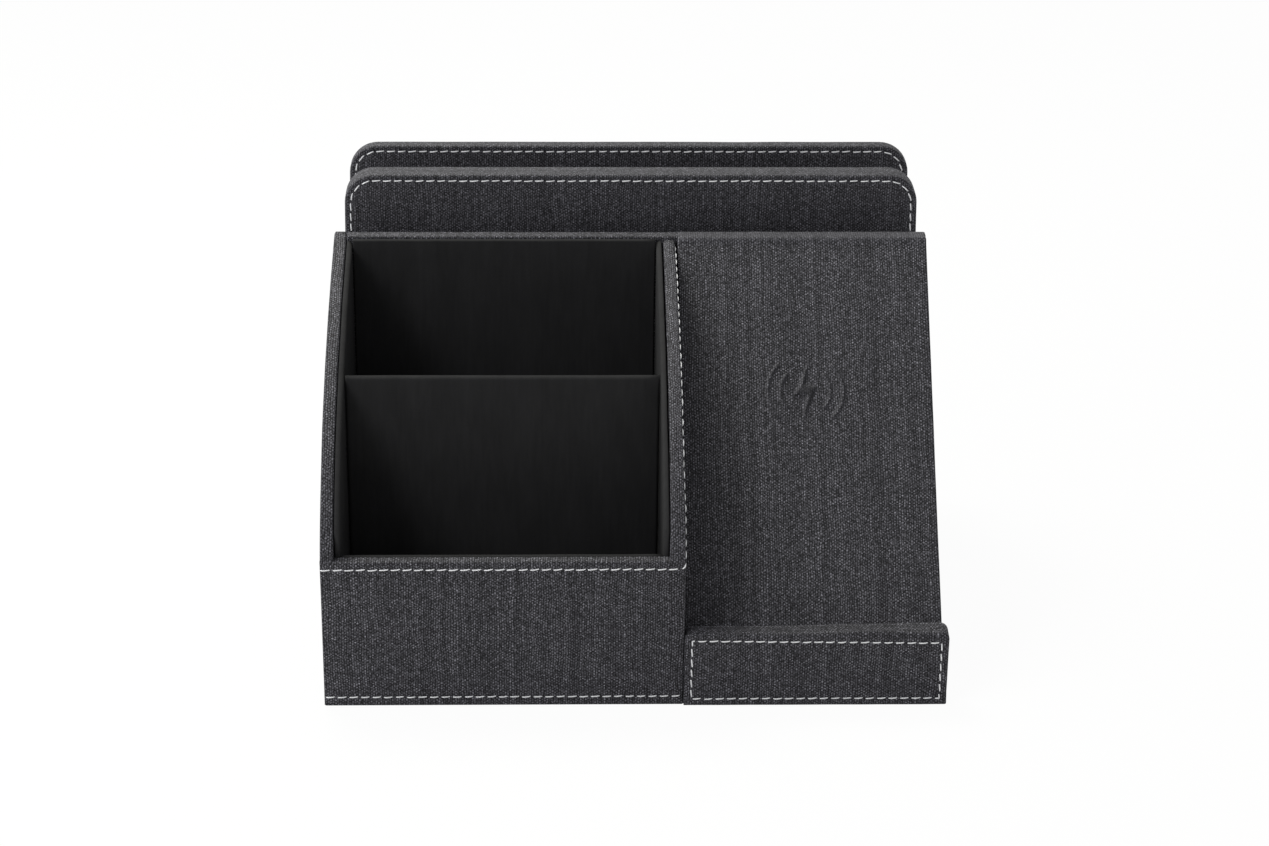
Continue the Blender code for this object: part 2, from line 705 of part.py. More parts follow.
exit_up = -ferrite_half - LEAD_GAP / 2
below_tray = tray_bottom - LEAD_DROP
outer_lead = [
    Vector((LEAD_X, exit_up, below_tray)),
    Vector((LEAD_X, exit_up, tray_bottom + TRAY_FLOOR / 2)),
    Vector((LEAD_X, exit_up + 0.3 * MM, coil_level - 1.2 * MM)),
    Vector((LEAD_X - 0.2 * MM, exit_up + 1.6 * MM, coil_level - 0.1 * MM)),
    Vector((LEAD_X - 0.9 * MM, exit_up + 3.0 * MM, coil_level)),
    spiral[0],
]
inner_lead = [
    spiral[-1],
    Vector((-0.6 * MM, -COIL_INNER + 0.35 * MM, coil_level - 0.15 * MM)),
    Vector((FERRITE_SLOT_X + 0.2 * MM, -COIL_INNER + 0.5 * MM, coil_level - 1.0 * MM)),
    Vector((FERRITE_SLOT_X, -COIL_INNER - 0.4 * MM, slot_level + 0.3 * MM)),
    Vector((FERRITE_SLOT_X, -COIL_INNER - 2.0 * MM, slot_level)),
    Vector((FERRITE_SLOT_X, -ferrite_half + 1.0 * MM, slot_level)),
    Vector((FERRITE_SLOT_X, exit_up + 0.6 * MM, slot_level - 0.3 * MM)),
    Vector((FERRITE_SLOT_X, exit_up, tray_bottom)),
    Vector((FERRITE_SLOT_X, exit_up, below_tray)),
]


def slope_to_plan(points):
    """Points about the coil's middle, brought to plan positions."""
    return [on_slope(p.x, COIL_UP_SLOPE + p.y, p.z) for p in points]


def lead_down(start, target_y):
    """Loose lead from below the tray to its pad on the circuit board."""
    pad = Vector((pcb_left + LEAD_PAD_INSET, target_y, pcb_top + FIT + WIRE / 2))
    return [
        start,
        start + Vector((0.5 * MM, 3.0 * MM, -7.0 * MM)),
        start.lerp(pad, 0.5) + Vector((-2.0 * MM, 3.0 * MM, -4.0 * MM)),
        pad + Vector((-6.0 * MM, 0.5 * MM, 9.0 * MM)),
        pad + Vector((-3.0 * MM, 0.0, 1.6 * MM)),
        pad,
    ]


first_run = slope_to_plan(smooth_path(outer_lead, 4))
last_run = slope_to_plan(smooth_path(inner_lead, 4))
down_first = smooth_path(lead_down(first_run[0], PCB_CENTRE_Y + LEAD_PAD_SPACING), 5)
down_last = smooth_path(lead_down(last_run[-1], PCB_CENTRE_Y), 5)
wire_path = down_first[:0:-1] + first_run[:-1] + slope_to_plan(spiral) + last_run[1:-1] + down_last
coil_place = on_slope(0, COIL_UP_SLOPE, coil_level)
litz = make_material("litz_copper", (0.42, 0.16, 0.06), 0.42, 0.6)
wire("charging_coil", wire_path, WIRE, coil_place, litz)


def least_gap(path, reach):
    """Least clear distance between parts of the wire that are not neighbours along it."""
    lengths = [0.0]
    for first, second in zip(path, path[1:]):
        lengths.append(lengths[-1] + (second - first).length)
    best = 1.0
    for i in range(len(path)):
        for j in range(i + 1, len(path)):
            if lengths[j] - lengths[i] > reach:
                best = min(best, (path[j] - path[i]).length)
    return best - WIRE


print("coil least gap to itself, mm:", round(least_gap(wire_path, 6 * MM) / MM, 3))
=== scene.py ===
"""Looks of the desk organiser: cloth, flannel, stitches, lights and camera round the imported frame."""
import math
import random

import bmesh
import bpy
from mathutils import Matrix, Vector, noise


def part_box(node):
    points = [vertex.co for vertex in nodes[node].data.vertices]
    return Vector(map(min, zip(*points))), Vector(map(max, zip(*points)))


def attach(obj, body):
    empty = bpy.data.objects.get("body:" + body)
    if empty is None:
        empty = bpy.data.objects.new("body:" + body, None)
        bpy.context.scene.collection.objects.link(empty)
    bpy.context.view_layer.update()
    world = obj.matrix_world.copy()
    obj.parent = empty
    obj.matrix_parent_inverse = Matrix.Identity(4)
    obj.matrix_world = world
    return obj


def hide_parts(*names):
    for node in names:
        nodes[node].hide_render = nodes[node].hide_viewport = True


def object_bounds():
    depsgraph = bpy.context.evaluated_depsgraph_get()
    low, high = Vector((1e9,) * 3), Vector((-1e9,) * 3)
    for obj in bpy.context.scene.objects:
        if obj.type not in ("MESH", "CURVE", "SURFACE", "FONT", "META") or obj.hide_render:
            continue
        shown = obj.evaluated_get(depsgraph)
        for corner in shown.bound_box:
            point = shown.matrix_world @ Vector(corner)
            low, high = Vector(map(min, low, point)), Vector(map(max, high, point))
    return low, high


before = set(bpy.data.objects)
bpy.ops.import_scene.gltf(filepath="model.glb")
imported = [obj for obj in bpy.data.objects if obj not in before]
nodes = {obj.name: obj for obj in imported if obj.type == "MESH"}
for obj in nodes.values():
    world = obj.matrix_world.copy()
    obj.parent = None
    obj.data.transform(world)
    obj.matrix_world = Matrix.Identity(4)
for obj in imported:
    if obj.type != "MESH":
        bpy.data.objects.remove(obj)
cad_low, cad_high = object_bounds()

MM = 0.001
low = {name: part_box(name)[0] for name in nodes}
high = {name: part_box(name)[1] for name in nodes}

# Driving lines of the body, read from the frame
body_left = low["left_side_board"].x
body_front = low["left_side_board"].y
body_back = high["left_side_board"].y
board_foot = low["left_side_board"].z
pen_box_right = high["centre_side_board"].x
wall = high["left_side_board"].x - body_left
centre_wall = pen_box_right - low["centre_side_board"].x
centre_back = high["centre_side_board"].y
front_top = high["pen_box_front_board"].z
back_top = high["back_board"].z
rest_left = low["phone_panel_cover"].x
rest_right = high["phone_panel_cover"].x
lip_low, lip_high = low["phone_lip_board"], high["phone_lip_board"]

# Axes of a board: across its outline, up its outline, and from its front to its back
X, Y, Z = Vector((1, 0, 0)), Vector((0, 1, 0)), Vector((0, 0, 1))
SIDEWAYS = (Y, Z, X)
FACING = (X, Z, Y)
LEVEL = (X, Y, Z)

# Curved rim of the pen box: its two middle handles as shares of the depth and of the rise
RIM_HANDLE_1 = (0.092, 0.359)
RIM_HANDLE_2 = (0.421, 0.778)
RIM_STEPS = 48
RIM_HALVINGS = 40

# Cloth on a board: its rolled edge, its hold beside that edge, and the waviness of work done by hand
WALL_EDGE = 0.9 * MM
HOLD = 0.7 * MM
SKIN = 0.12 * MM
WAVE = 0.10 * MM
WAVE_LENGTH = 18 * MM
WAVE_SEED = 1

# Fineness of the meshes
ROLL_STEPS = 5
QUARTER = [math.pi / 2 * k / ROLL_STEPS for k in range(ROLL_STEPS + 1)]
CORNER_STEPS = 10
LEAST_RADIUS = 0.02 * MM
SEGMENT = 5 * MM
SIDE_SEGMENT = 40 * MM
CENTRE_SEGMENT = 12 * MM
LINING_SEGMENT = 30 * MM
PATH_SEGMENT = 3 * MM

# Side boards: they end behind the front cloth's face, and the centre board clears the base board
FRONT_FOLD = 0.25 * MM
NOTCH_GAP = 0.3 * MM

# The centre board grows thinner than its place over a run behind the front cloth, and more towards the back
CENTRE_LEAN = 0.6 * MM
CENTRE_LEAN_RUN = 20 * MM
CENTRE_LEAN_SHARE = 0.8
CENTRE_LEAN_GROWTH = 0.6
CENTRE_LEAN_INSIDE = 0.5

# Front cloth of the pen box
FRONT_FOOT_EDGE = 0.3 * MM
FRONT_BULGE = 0.10 * MM
FRONT_TUCK = 8 * MM
FRONT_ROWS = 12
FRONT_COLUMNS = 46

# Linings: how far their tops are lowered, and their rolled edges
LINING_DROP = 0.3 * MM
LINING_FRONT_DROP = 0.1 * MM
LINING_EDGE = 0.55 * MM
LINING_SOFT_EDGE = 1.5 * MM
DIVIDER_EDGE = 1.3 * MM
DIVIDER_DROP = 0.25 * MM

# Stitches: the thread dives under the cloth at both ends, where it is also thinner
STITCH_PITCH = 4.45 * MM
STITCH_LENGTH = 3.85 * MM
STITCH_SLANT = 0.34 * MM
STITCH_PROBE = 0.3 * MM
STITCH_SIDES = 8
STITCH_PARTS = 8
THREAD = 0.58 * MM
THREAD_END = 0.62
THREAD_FLATNESS = 0.85
THREAD_DIVE = 0.40 * MM
THREAD_RISE = 0.70 * MM
THREAD_ARCH = 0.4

# Unevenness of the stitches: shares of their length, slant and rise, and shifts in millimetres
LENGTH_SPREAD = (0.94, 1.04)
SLANT_SPREAD = (0.7, 1.25)
RISE_SPREAD = (0.85, 1.1)
ALONG_SPREAD = (-0.06, 0.06)
ASIDE_SPREAD = (-0.07, 0.07)

# Groove that a row of stitches lies in: shares of its half width, and of its depth there
SEAM_DEPTH = 0.28 * MM
SEAM_HALF_WIDTH = 1.3 * MM
SEAM_PROFILE = (
    (1.0, 0.0), (0.62, 0.30), (0.30, 0.85), (0.0, 1.0), (-0.30, 0.85), (-0.62, 0.30), (-1.0, 0.0),
)
SEAM_CLEAR = 2.2
LEAST_STEP = 0.05 * MM

# Places of the seams, from the edges of their pieces
LIP_SEAM = 2.9 * MM
RACK_SEAM = 2.5 * MM
RACK_SEAM_FOOT = 3 * MM
FRONT_SEAM_TOP = 3.3 * MM
FRONT_SEAM_FOOT = 3.5 * MM
FRONT_FOOT_ENDS = (0.1 * MM, 0.8 * MM)
FRONT_TOP_ENDS = (-0.1 * MM, 2.4 * MM)
FRONT_TOP_SLANT = 0.5 * MM
FRONT_TOP_LENGTH = 4.1 * MM

# The front's top seam turns up here, in millimetres from the right edge and above it, and follows the rim
RIM_TURN = ((2.0, 0.0), (0.9, 0.4), (0.2, 1.3))
RIM_SEAM = 1.1 * MM
RIM_SEAM_SINK = 0.12 * MM
RIM_SEAM_START = 0.004
RIM_SEAM_SHARE = 0.96
RIM_SEAM_TILT = 0.3
RIM_SEAM_SLANT = 0.1 * MM
RIM_PROBE = 0.01

# Letter rack
RACK_CORNER = 12 * MM
RACK_EDGE = 1.0 * MM
RACK_REAR_EDGE = 1.9 * MM
RACK_TAPER = 2.8 * MM

# Lip of the phone rest: corners, and its top, which swells towards the right and bulges at one place
LIP_REACH = 0.22 * MM
LIP_EDGE = 1.3 * MM
LIP_CORNER = 3.2 * MM
LIP_FOOT_CORNER = 0.6 * MM
LIP_LEFT_FOOT_CORNER = 0.18 * MM
LIP_FOOT_SQUARENESS = 0.75
LIP_SEAM_FALL = 1.25 * MM
LIP_SWELL = 1.35 * MM
LIP_SWELL_START = 0.2
LIP_SWELL_FOOT = 0.6
LIP_BULGE = 0.7 * MM
LIP_BULGE_PLACE = 0.71
LIP_BULGE_WIDTH = 12 * MM
LIP_BULGE_DEPTH = 1.9 * MM

# Phone panel: level strip behind its slope, thickness of its cover, and radius of the crease between
PANEL_TOP_FLAT = 1.8 * MM
PANEL_COVER = 1.2 * MM
PANEL_FOOT_GAP = 0.1 * MM
PANEL_BACK_GAP = 0.1 * MM
PANEL_FINE = 0.42 * MM
PANEL_COARSE = 3.0 * MM
PANEL_EDGE_SHARES = (0.0, 0.25, 0.6, 1.0)
PANEL_EDGE_REACH = 2.5
SLOPE_PASSES = 12
CREASE = 1.0 * MM
CREASE_SWELL = 0.45 * MM
CREASE_SPREAD = 1.9 * MM
# Painted highlight on the crease, and how far down the slope it fades
CREASE_PAINTED_LIGHT = 0.85
CREASE_FADE = 0.9 * MM
CREASE_STEP = 0.6 * MM
CREASE_STEPS = 6
CREASE_CLEAR = 4 * MM

# Charging sign, raised in the cloth of the phone panel: a bolt between two pairs of arcs
SIGN_UP_SLOPE = 109.9 * MM
SIGN_ACROSS = -0.3 * MM
SIGN_REACH_ACROSS = 18.5 * MM
SIGN_REACH_ALONG = 16.5 * MM
SIGN_RISE = 1.0 * MM
SIGN_BLUR = 0.2 * MM
SIGN_PROBE = 0.4 * MM
BOLT = [(2.1, 14.4), (-5.0, -2.0), (-0.3, -2.0), (-2.0, -15.2), (4.8, 1.8), (0.2, 2.9)]
BOLT_REACH = 1.5 * MM
BOLT_SHIFT = 0.8 * MM
# The bolt's middle is darkened with painted shade, from this far inside its outline over this reach
BOLT_MIDDLE_START = 0.3 * MM
BOLT_MIDDLE_REACH = 1.8 * MM
BOLT_MIDDLE_PAINTED_SHADE = 1.4
ARC_SHARE = 0.6
ARC_RADII = (10.0 * MM, 15.2 * MM)
ARC_HALF_ANGLES = (41, 45)
ARC_HALF_WIDTH = 1.0 * MM

# Names that the meshes and the materials share
UNROLLED_MAP = "weave"
PAINTED_LIGHT_ATTRIBUTE = "painted_light_mark"

# Weave of the cloth in millimetres: upright ribs, picks across them, slubs along them, specks of the grain
RIB = 0.93
PICK = 0.62
SLUB = 1.3
SLUB_SHIFT = 37.0
SPECK = 0.46
FLECK_RARITY = 9.0
WEAVE_LEVEL = -0.37
WEAVE_RELIEF = 0.09 * MM
SMALL_RELIEF = 0.4
RIB_ROUGHNESS = (0.76, 0.58)
CLOTH_COLOUR = (0.0515, 0.0508, 0.0578)
CLOTH_GLOSS = 0.13

# On the sign's flanks the weave is pressed flatter and given painted light and shade: paler on all flanks,
# lighter where they face left, darker where they face right
SIGN_CALM = 0.45
SIGN_PAINTED_LIGHT = 0.16
SIGN_PAINTED_SHADE = 0.32

# Cloths that differ: the rack's weave is calmer and paler; the left side's is a copy darkened with painted
# shade
RACK_CONTRAST = 0.84
RACK_LIFT = 0.08
SIDE_PAINTED_SHADE = -0.12

# Other soft stuff
FLANNEL_COLOUR = (0.0236, 0.0236, 0.0246)
# The side linings' flannel is a paler copy of the flannel: painted light
SIDE_FLANNEL_PAINTED_LIGHT = (0.0295, 0.0295, 0.0305)
FELT_COLOUR = (0.014, 0.014, 0.015)
THREAD_COLOUR = (0.95, 0.955, 0.985)
THREAD_TWISTS = 3200.0

# Camera, from the photograph's vanishing lines
CAMERA_PLACE = Vector((-33.83, -1129.29, 595.61)) * MM
CAMERA_PITCH = math.radians(24.6221)
CAMERA_YAW = math.radians(1.7662)
CAMERA_ROLL = math.radians(0.6343)
LENS = 87.124
SENSOR_WIDTH = 36.0
NEAREST_SEEN = 0.05
FARTHEST_SEEN = 20.0

# Studio
FLOOR_SIZE = 4.0
FLOOR_GAP = 0.05 * MM
FLOOR_WHITE = 0.96
FLOOR_GREY = 0.75
WORLD_LIGHT = 0.44
WHITE = (1.0, 1.0, 1.0)
LAMP_SIZE = 0.40
LAMP_AIM = Vector((0.0, 0.0, 0.08))

# Blender seeds this noise by the clock unless it is told otherwise
noise.seed_set(WAVE_SEED)


def eased(value):
    """Share from 0 to 1 that starts and ends gently."""
    share = min(1.0, max(0.0, value))
    return share * share * (3 - 2 * share)


class Nodes:
    """Short hand for building the node tree of one material, or of the world."""

    def __init__(self, owner):
        owner.use_nodes = True
        self.owner = owner
        self.tree = owner.node_tree
        self.shader = self.tree.nodes.get("Principled BSDF")

    def add(self, kind, **settings):
        node = self.tree.nodes.new(kind)
        for key, value in settings.items():
            setattr(node, key, value)
        return node

    def link(self, source, target):
        """Join a socket to an input, or set the input to a number or a colour."""
        if isinstance(source, bpy.types.NodeSocket):
            self.tree.links.new(source, target)
        else:
            target.default_value = source

    def math(self, operation, *values, clamp=False):
        node = self.add("ShaderNodeMath", operation=operation, use_clamp=clamp)
        for socket, value in zip(node.inputs, values):
            self.link(value, socket)
        return node.outputs[0]

    def cell(self, value, size):
        """Number of the cell that a value is in."""
        return self.math("FLOOR", self.math("DIVIDE", value, size))

    def join(self, x, y, z=0.0):
        node = self.add("ShaderNodeCombineXYZ")
        for socket, value in zip(node.inputs, (x, y, z)):
            self.link(value, socket)
        return node.outputs[0]

    def split(self, vector):
        node = self.add("ShaderNodeSeparateXYZ")
        self.link(vector, node.inputs[0])
        return node.outputs

    def noise(self, vector, scale, detail=2.0, roughness=0.5):
        node = self.add("ShaderNodeTexNoise")
        self.link(vector, node.inputs["Vector"])
        node.inputs["Scale"].default_value = scale
        node.inputs["Detail"].default_value = detail
        node.inputs["Roughness"].default_value = roughness
        return node.outputs["Fac"]

    def marks(self, x, y, x_scale, y_scale, layer=0.0, detail=2.0, roughness=0.5):
        """Noise with its own scale in each direction. Each layer is another pattern."""
        place = self.join(self.math("MULTIPLY", x, x_scale), self.math("MULTIPLY", y, y_scale), layer)
        return self.noise(place, 1.0, detail, roughness)

    def white(self, x, y, layer):
        """Random number for each whole place."""
        node = self.add("ShaderNodeTexWhiteNoise", noise_dimensions="3D")
        self.link(self.join(x, y, layer), node.inputs["Vector"])
        return node.outputs["Value"]

    def span(self, value, low_in, high_in, low_out, high_out):
        node = self.add("ShaderNodeMapRange")
        for socket, setting in zip(node.inputs, (value, low_in, high_in, low_out, high_out)):
            self.link(setting, socket)
        return node.outputs[0]

    def tint(self, colour, amount):
        """Colour times a number."""
        node = self.add("ShaderNodeVectorMath", operation="SCALE")
        node.inputs[0].default_value = colour
        self.link(amount, node.inputs["Scale"])
        return node.outputs[0]

    def bump(self, height, distance, strength):
        node = self.add("ShaderNodeBump")
        node.inputs["Strength"].default_value = strength
        node.inputs["Distance"].default_value = distance
        self.link(height, node.inputs["Height"])
        return node.outputs[0]

    def finish(self, colour, roughness, specular, normal, metallic=0.0):
        self.link(colour, self.shader.inputs["Base Color"])
        self.link(roughness, self.shader.inputs["Roughness"])
        self.link(normal, self.shader.inputs["Normal"])
        self.shader.inputs["Specular IOR Level"].default_value = specular
        self.shader.inputs["Metallic"].default_value = metallic
        return self.owner


def new_material(name):
    """Node tree of a new material."""
    return Nodes(bpy.data.materials.new(name))


def unrolled(m):
    """Place on the cloth in millimetres, from the piece's own unrolled map."""
    source = m.add("ShaderNodeUVMap", uv_map=UNROLLED_MAP)
    x, y, _ = m.split(source.outputs[0])
    return m.math("MULTIPLY", x, 1000.0), m.math("MULTIPLY", y, 1000.0)


def boxed(m):
    """Place on the cloth in millimetres, seen square on from the side that the surface faces."""
    source = m.add("ShaderNodeTexCoord")
    px, py, pz = m.split(source.outputs["Object"])
    nx, _, nz = m.split(source.outputs["Normal"])
    sideways = m.math("GREATER_THAN", m.math("ABSOLUTE", nx), 0.7)
    upward = m.math("GREATER_THAN", m.math("ABSOLUTE", nz), 0.75)
    across = m.span(sideways, 0.0, 1.0, px, py)
    up = m.span(upward, 0.0, 1.0, pz, py)
    return m.math("MULTIPLY", across, 1000.0), m.math("MULTIPLY", up, 1000.0)


def cloth(name, place, painted_light=False, contrast=1.0, lift=0.0):
    """Charcoal artificial leather with an embossed linen weave: ribs, picks, slubs and pale flecks."""
    m = new_material(name)
    u, v = place(m)
    drift = m.marks(u, v, 0.05, 0.05)
    u = m.math("ADD", u, m.span(drift, 0.3, 0.7, -0.5, 0.5))
    column = m.cell(u, RIB)
    rib = m.math("SINE", m.math("MULTIPLY", m.math("FRACT", m.math("DIVIDE", u, RIB)), math.pi))
    turn = m.math("MULTIPLY", m.math("ADD", m.math("DIVIDE", v, PICK), column), math.pi)
    pick = m.math("MULTIPLY_ADD", m.math("COSINE", turn), 0.5, 0.5)

    # Each yarn has its own shade, and slubs of its own along it
    yarn = m.white(column, 0.0, 7.0)
    slub = m.white(column, m.cell(m.math("MULTIPLY_ADD", yarn, SLUB_SHIFT, v), SLUB), 3.0)
    speck = m.white(m.cell(u, SPECK), m.cell(v, SPECK), 11.0)
    fleck = m.math("POWER", m.white(column, m.cell(v, PICK), 5.0), FLECK_RARITY)
    streak = m.marks(column, v, 7.31, 0.22, roughness=0.6)
    cloud = m.marks(u, v, 0.07, 0.07, layer=5.0)

    # Each part of the pattern, its weight in the shade, and its middle, where it leaves the shade as it is
    parts = (
        (rib, 1.38, 0.64),
        (pick, 1.10, 0.5),
        (yarn, 0.42, 0.5),
        (slub, 0.10, 0.5),
        (speck, 2.20, 0.5),
        (fleck, 0.30, 0.10),
        (streak, 0.22, 0.5),
        (cloud, 0.05, 0.5),
    )
    shade = 0.0
    for part, weight, middle in parts:
        shade = m.math("MULTIPLY_ADD", m.math("SUBTRACT", part, middle), weight, shade)
    small = m.math("ADD", m.math("ADD", pick, slub), speck)
    height = m.math("MULTIPLY_ADD", small, SMALL_RELIEF, rib)
    # Painted light and shade from the mesh's mark: the sign's flanks by the side they face, the bolt's
    # middle, and the panel's crease
    if painted_light:
        painted_light_mark = m.add("ShaderNodeAttribute", attribute_name=PAINTED_LIGHT_ATTRIBUTE).outputs["Fac"]
        strength = m.math("ABSOLUTE", painted_light_mark, clamp=True)
        calm = m.span(strength, 0.0, 1.0, 1.0, SIGN_CALM)
        height = m.math("MULTIPLY", height, calm)
        shade = m.math("MULTIPLY_ADD", shade, calm, m.math("MULTIPLY", strength, SIGN_PAINTED_LIGHT))
        shade = m.math("MULTIPLY_ADD", painted_light_mark, SIGN_PAINTED_SHADE, shade)
    tone = m.math("EXPONENT", m.math("MULTIPLY_ADD", shade, contrast, WEAVE_LEVEL + lift))
    roughness = m.span(rib, 0.0, 1.0, *RIB_ROUGHNESS)
    relief = m.bump(height, WEAVE_RELIEF, 0.8)
    return m.finish(m.tint(CLOTH_COLOUR, tone), roughness, CLOTH_GLOSS, relief)


def flannel(name, colour, place):
    """Short black pile with faint brush marks."""
    m = new_material(name)
    u, v = place(m)
    pile = m.marks(u, v, 3.2, 3.2, detail=3.0, roughness=0.7)
    brush = m.marks(u, v, 0.10, 0.035, detail=3.0, roughness=0.55)
    wisps = m.marks(u, v, 0.6, 0.06, layer=9.0)
    tone = m.math("MULTIPLY", m.span(pile, 0.25, 0.75, 0.72, 1.28), m.span(brush, 0.3, 0.7, 0.90, 1.12))
    tone = m.math("MULTIPLY", tone, m.span(wisps, 0.3, 0.7, 0.94, 1.06))
    return m.finish(m.tint(colour, tone), 0.95, 0.03, m.bump(pile, 0.12 * MM, 0.6))


def thread_material():
    """Off-white twisted sewing thread."""
    m = new_material("sewing_thread")
    source = m.add("ShaderNodeUVMap", uv_map=UNROLLED_MAP)
    along, around, _ = m.split(source.outputs[0])
    turns = m.math("MULTIPLY_ADD", along, THREAD_TWISTS, around)
    twist = m.math("SINE", m.math("MULTIPLY", turns, 2 * math.pi))
    shade = m.span(twist, -1.0, 1.0, 0.92, 1.0)
    return m.finish(m.tint(THREAD_COLOUR, shade), 0.7, 0.2, m.bump(twist, 0.05 * MM, 0.6))


def grained(
    name, colour, roughness, scale, depth, spread=0.15, metallic=0.0, specular=0.5, stretch=(1, 1, 1),
):
    """Moulded, drawn or pressed stuff: one colour with a fine uneven grain."""
    m = new_material(name)
    source = m.add("ShaderNodeTexCoord")
    mapping = m.add("ShaderNodeMapping")
    mapping.inputs["Scale"].default_value = [s * 1000.0 for s in stretch]
    m.link(source.outputs["Object"], mapping.inputs["Vector"])
    grain = m.noise(mapping.outputs[0], scale, 3.0, 0.6)
    tone = m.span(grain, 0.3, 0.7, 1.0 - spread, 1.0 + spread)
    rough = m.span(grain, 0.3, 0.7, roughness * 0.9, min(1.0, roughness * 1.1))
    return m.finish(m.tint(colour, tone), rough, specular, m.bump(grain, depth * MM, 0.7), metallic)


def circuit_board(name):
    """Green solder mask over paler copper tracks."""
    m = new_material(name)
    source = m.add("ShaderNodeTexCoord")
    px, py, _ = m.split(source.outputs["Object"])
    place = m.join(m.math("SNAP", px, 1.27 * MM), m.math("SNAP", py, 1.27 * MM))
    track = m.math("GREATER_THAN", m.noise(place, 260.0, 1.0), 0.52)
    tone = m.span(track, 0.0, 1.0, 0.8, 1.5)
    return m.finish(m.tint((0.010, 0.080, 0.035), tone), 0.4, 0.5, m.bump(track, 0.04 * MM, 0.5))


cloth_unrolled = cloth("linen_cloth", unrolled)
cloth_panel_painted_light = cloth("linen_cloth_panel_painted_light", unrolled, painted_light=True)
cloth_boxed = cloth("linen_cloth_plain", boxed)
cloth_rack = cloth("linen_cloth_rack", unrolled, contrast=RACK_CONTRAST, lift=RACK_LIFT)
# Copy of the cloth darkened with painted shade, for the left side board
cloth_side_painted_shade = cloth("linen_cloth_side_painted_shade", unrolled, lift=SIDE_PAINTED_SHADE)
black_flannel = flannel("black_flannel", FLANNEL_COLOUR, unrolled)
# Paler copy of the flannel, with painted light, for the side linings
side_flannel_painted_light = flannel("black_flannel_side_painted_light", SIDE_FLANNEL_PAINTED_LIGHT, unrolled)
felt = flannel("black_felt", FELT_COLOUR, boxed)
thread = thread_material()


def rim_point(t, drop=0.0):
    """Point of the curved rim of the pen box, t from front to back, as depth and height."""
    depth = body_back - body_front
    rise = back_top - front_top
    handles = (
        (0.0, 0.0),
        (RIM_HANDLE_1[0] * depth, RIM_HANDLE_1[1] * rise),
        (RIM_HANDLE_2[0] * depth, RIM_HANDLE_2[1] * rise),
        (depth, rise),
    )
    weights = ((1 - t) ** 3, 3 * t * (1 - t) ** 2, 3 * t * t * (1 - t), t ** 3)
    y = sum(w * h[0] for w, h in zip(weights, handles))
    z = sum(w * h[1] for w, h in zip(weights, handles))
    return body_front + y, front_top + z - drop


def rim_share(y):
    """Share of the rim's curve at which it reaches a depth."""
    first, last = 0.0, 1.0
    for _ in range(RIM_HALVINGS):
        middle = (first + last) / 2
        if rim_point(middle)[0] < y:
            first = middle
        else:
            last = middle
    return first


def rim_run(y0, y1, drop=0.0):
    """Corners along the rim from the back to the front, lowered by a drop."""
    t0, t1 = rim_share(y0), rim_share(y1)
    shares = [t1 + (t0 - t1) * k / RIM_STEPS for k in range(RIM_STEPS + 1)]
    return [(*rim_point(share, drop), 0) for share in shares]


def rectangle(left, right, foot, top):
    """Corners of a plain board, anticlockwise."""
    return [(left, foot, 0), (right, foot, 0), (right, top, 0), (left, top, 0)]


def outline_at(corners, amount, segment=SEGMENT):
    """Closed outline moved inwards: corners are x, y and radius, anticlockwise; counts never change."""
    count = len(corners)
    points = [Vector(c[:2]) for c in corners]
    rounds = []
    for i in range(count):
        d1 = (points[i] - points[i - 1]).normalized()
        d2 = (points[(i + 1) % count] - points[i]).normalized()
        n1 = Vector((-d1.y, d1.x))
        n2 = Vector((-d2.y, d2.x))
        share = 1.0 + n1.dot(n2)
        moved = points[i] + (n1 + n2) * (amount / share)
        radius = corners[i][2]
        arc = [moved]
        if radius:
            left = max(radius - amount, LEAST_RADIUS)
            centre = moved + (n1 + n2) * (left / share)
            angle = math.atan2(n1.x * n2.y - n1.y * n2.x, n1.dot(n2))
            turns = [Matrix.Rotation(angle * k / CORNER_STEPS, 2) for k in range(CORNER_STEPS + 1)]
            arc = [centre - turn @ n1 * left for turn in turns]
        rounds.append(arc)
    result = []
    for i in range(count):
        j = (i + 1) % count
        result += rounds[i]
        pieces = max(1, round((points[j] - points[i]).length / segment))
        for k in range(1, pieces):
            result.append(rounds[i][-1].lerp(rounds[j][0], k / pieces))
    return result


def wave(point, share):
    """Small unevenness of a hand-covered board."""
    if not share:
        return point
    return point + noise.noise_vector(point / WAVE_LENGTH) * (WAVE * share)


def rolled(edge):
    """Steps round a rolled edge from the face to the side: inset, depth, and run along the cloth."""
    return [(edge * (1 - math.sin(angle)), edge * (1 - math.cos(angle)), edge * angle) for angle in QUARTER]


def half_rings(edge, seam, reach):
    """Rings from the middle of a face round its rolled edge: inset, depth, unrolled inset, waviness.

    The middle keeps still, and the waviness grows to its full share at the rolled edge.
    """
    face = [(edge + 3 * HOLD, 0.0, 0.0)]
    if seam:
        face = [(seam + SEAM_CLEAR * SEAM_HALF_WIDTH, 0.0, 0.0)]
        for offset, share in SEAM_PROFILE[:-1]:
            inset = seam + offset * SEAM_HALF_WIDTH
            if inset > edge + LEAST_STEP:
                face.append((inset, share * SEAM_DEPTH, 0.5))
    face += [(edge + 0.15 * HOLD, 0.0, 0.8), (edge, 0.0, 1.0)]
    rings = [(inset, depth, inset, share) for inset, depth, share in face]
    rings += [(inset, depth, edge - run, 1.0) for inset, depth, run in rolled(edge)[1:]]
    rings.append((0.0, reach, edge - edge * math.pi / 2 - (reach - edge), 1.0))
    return rings


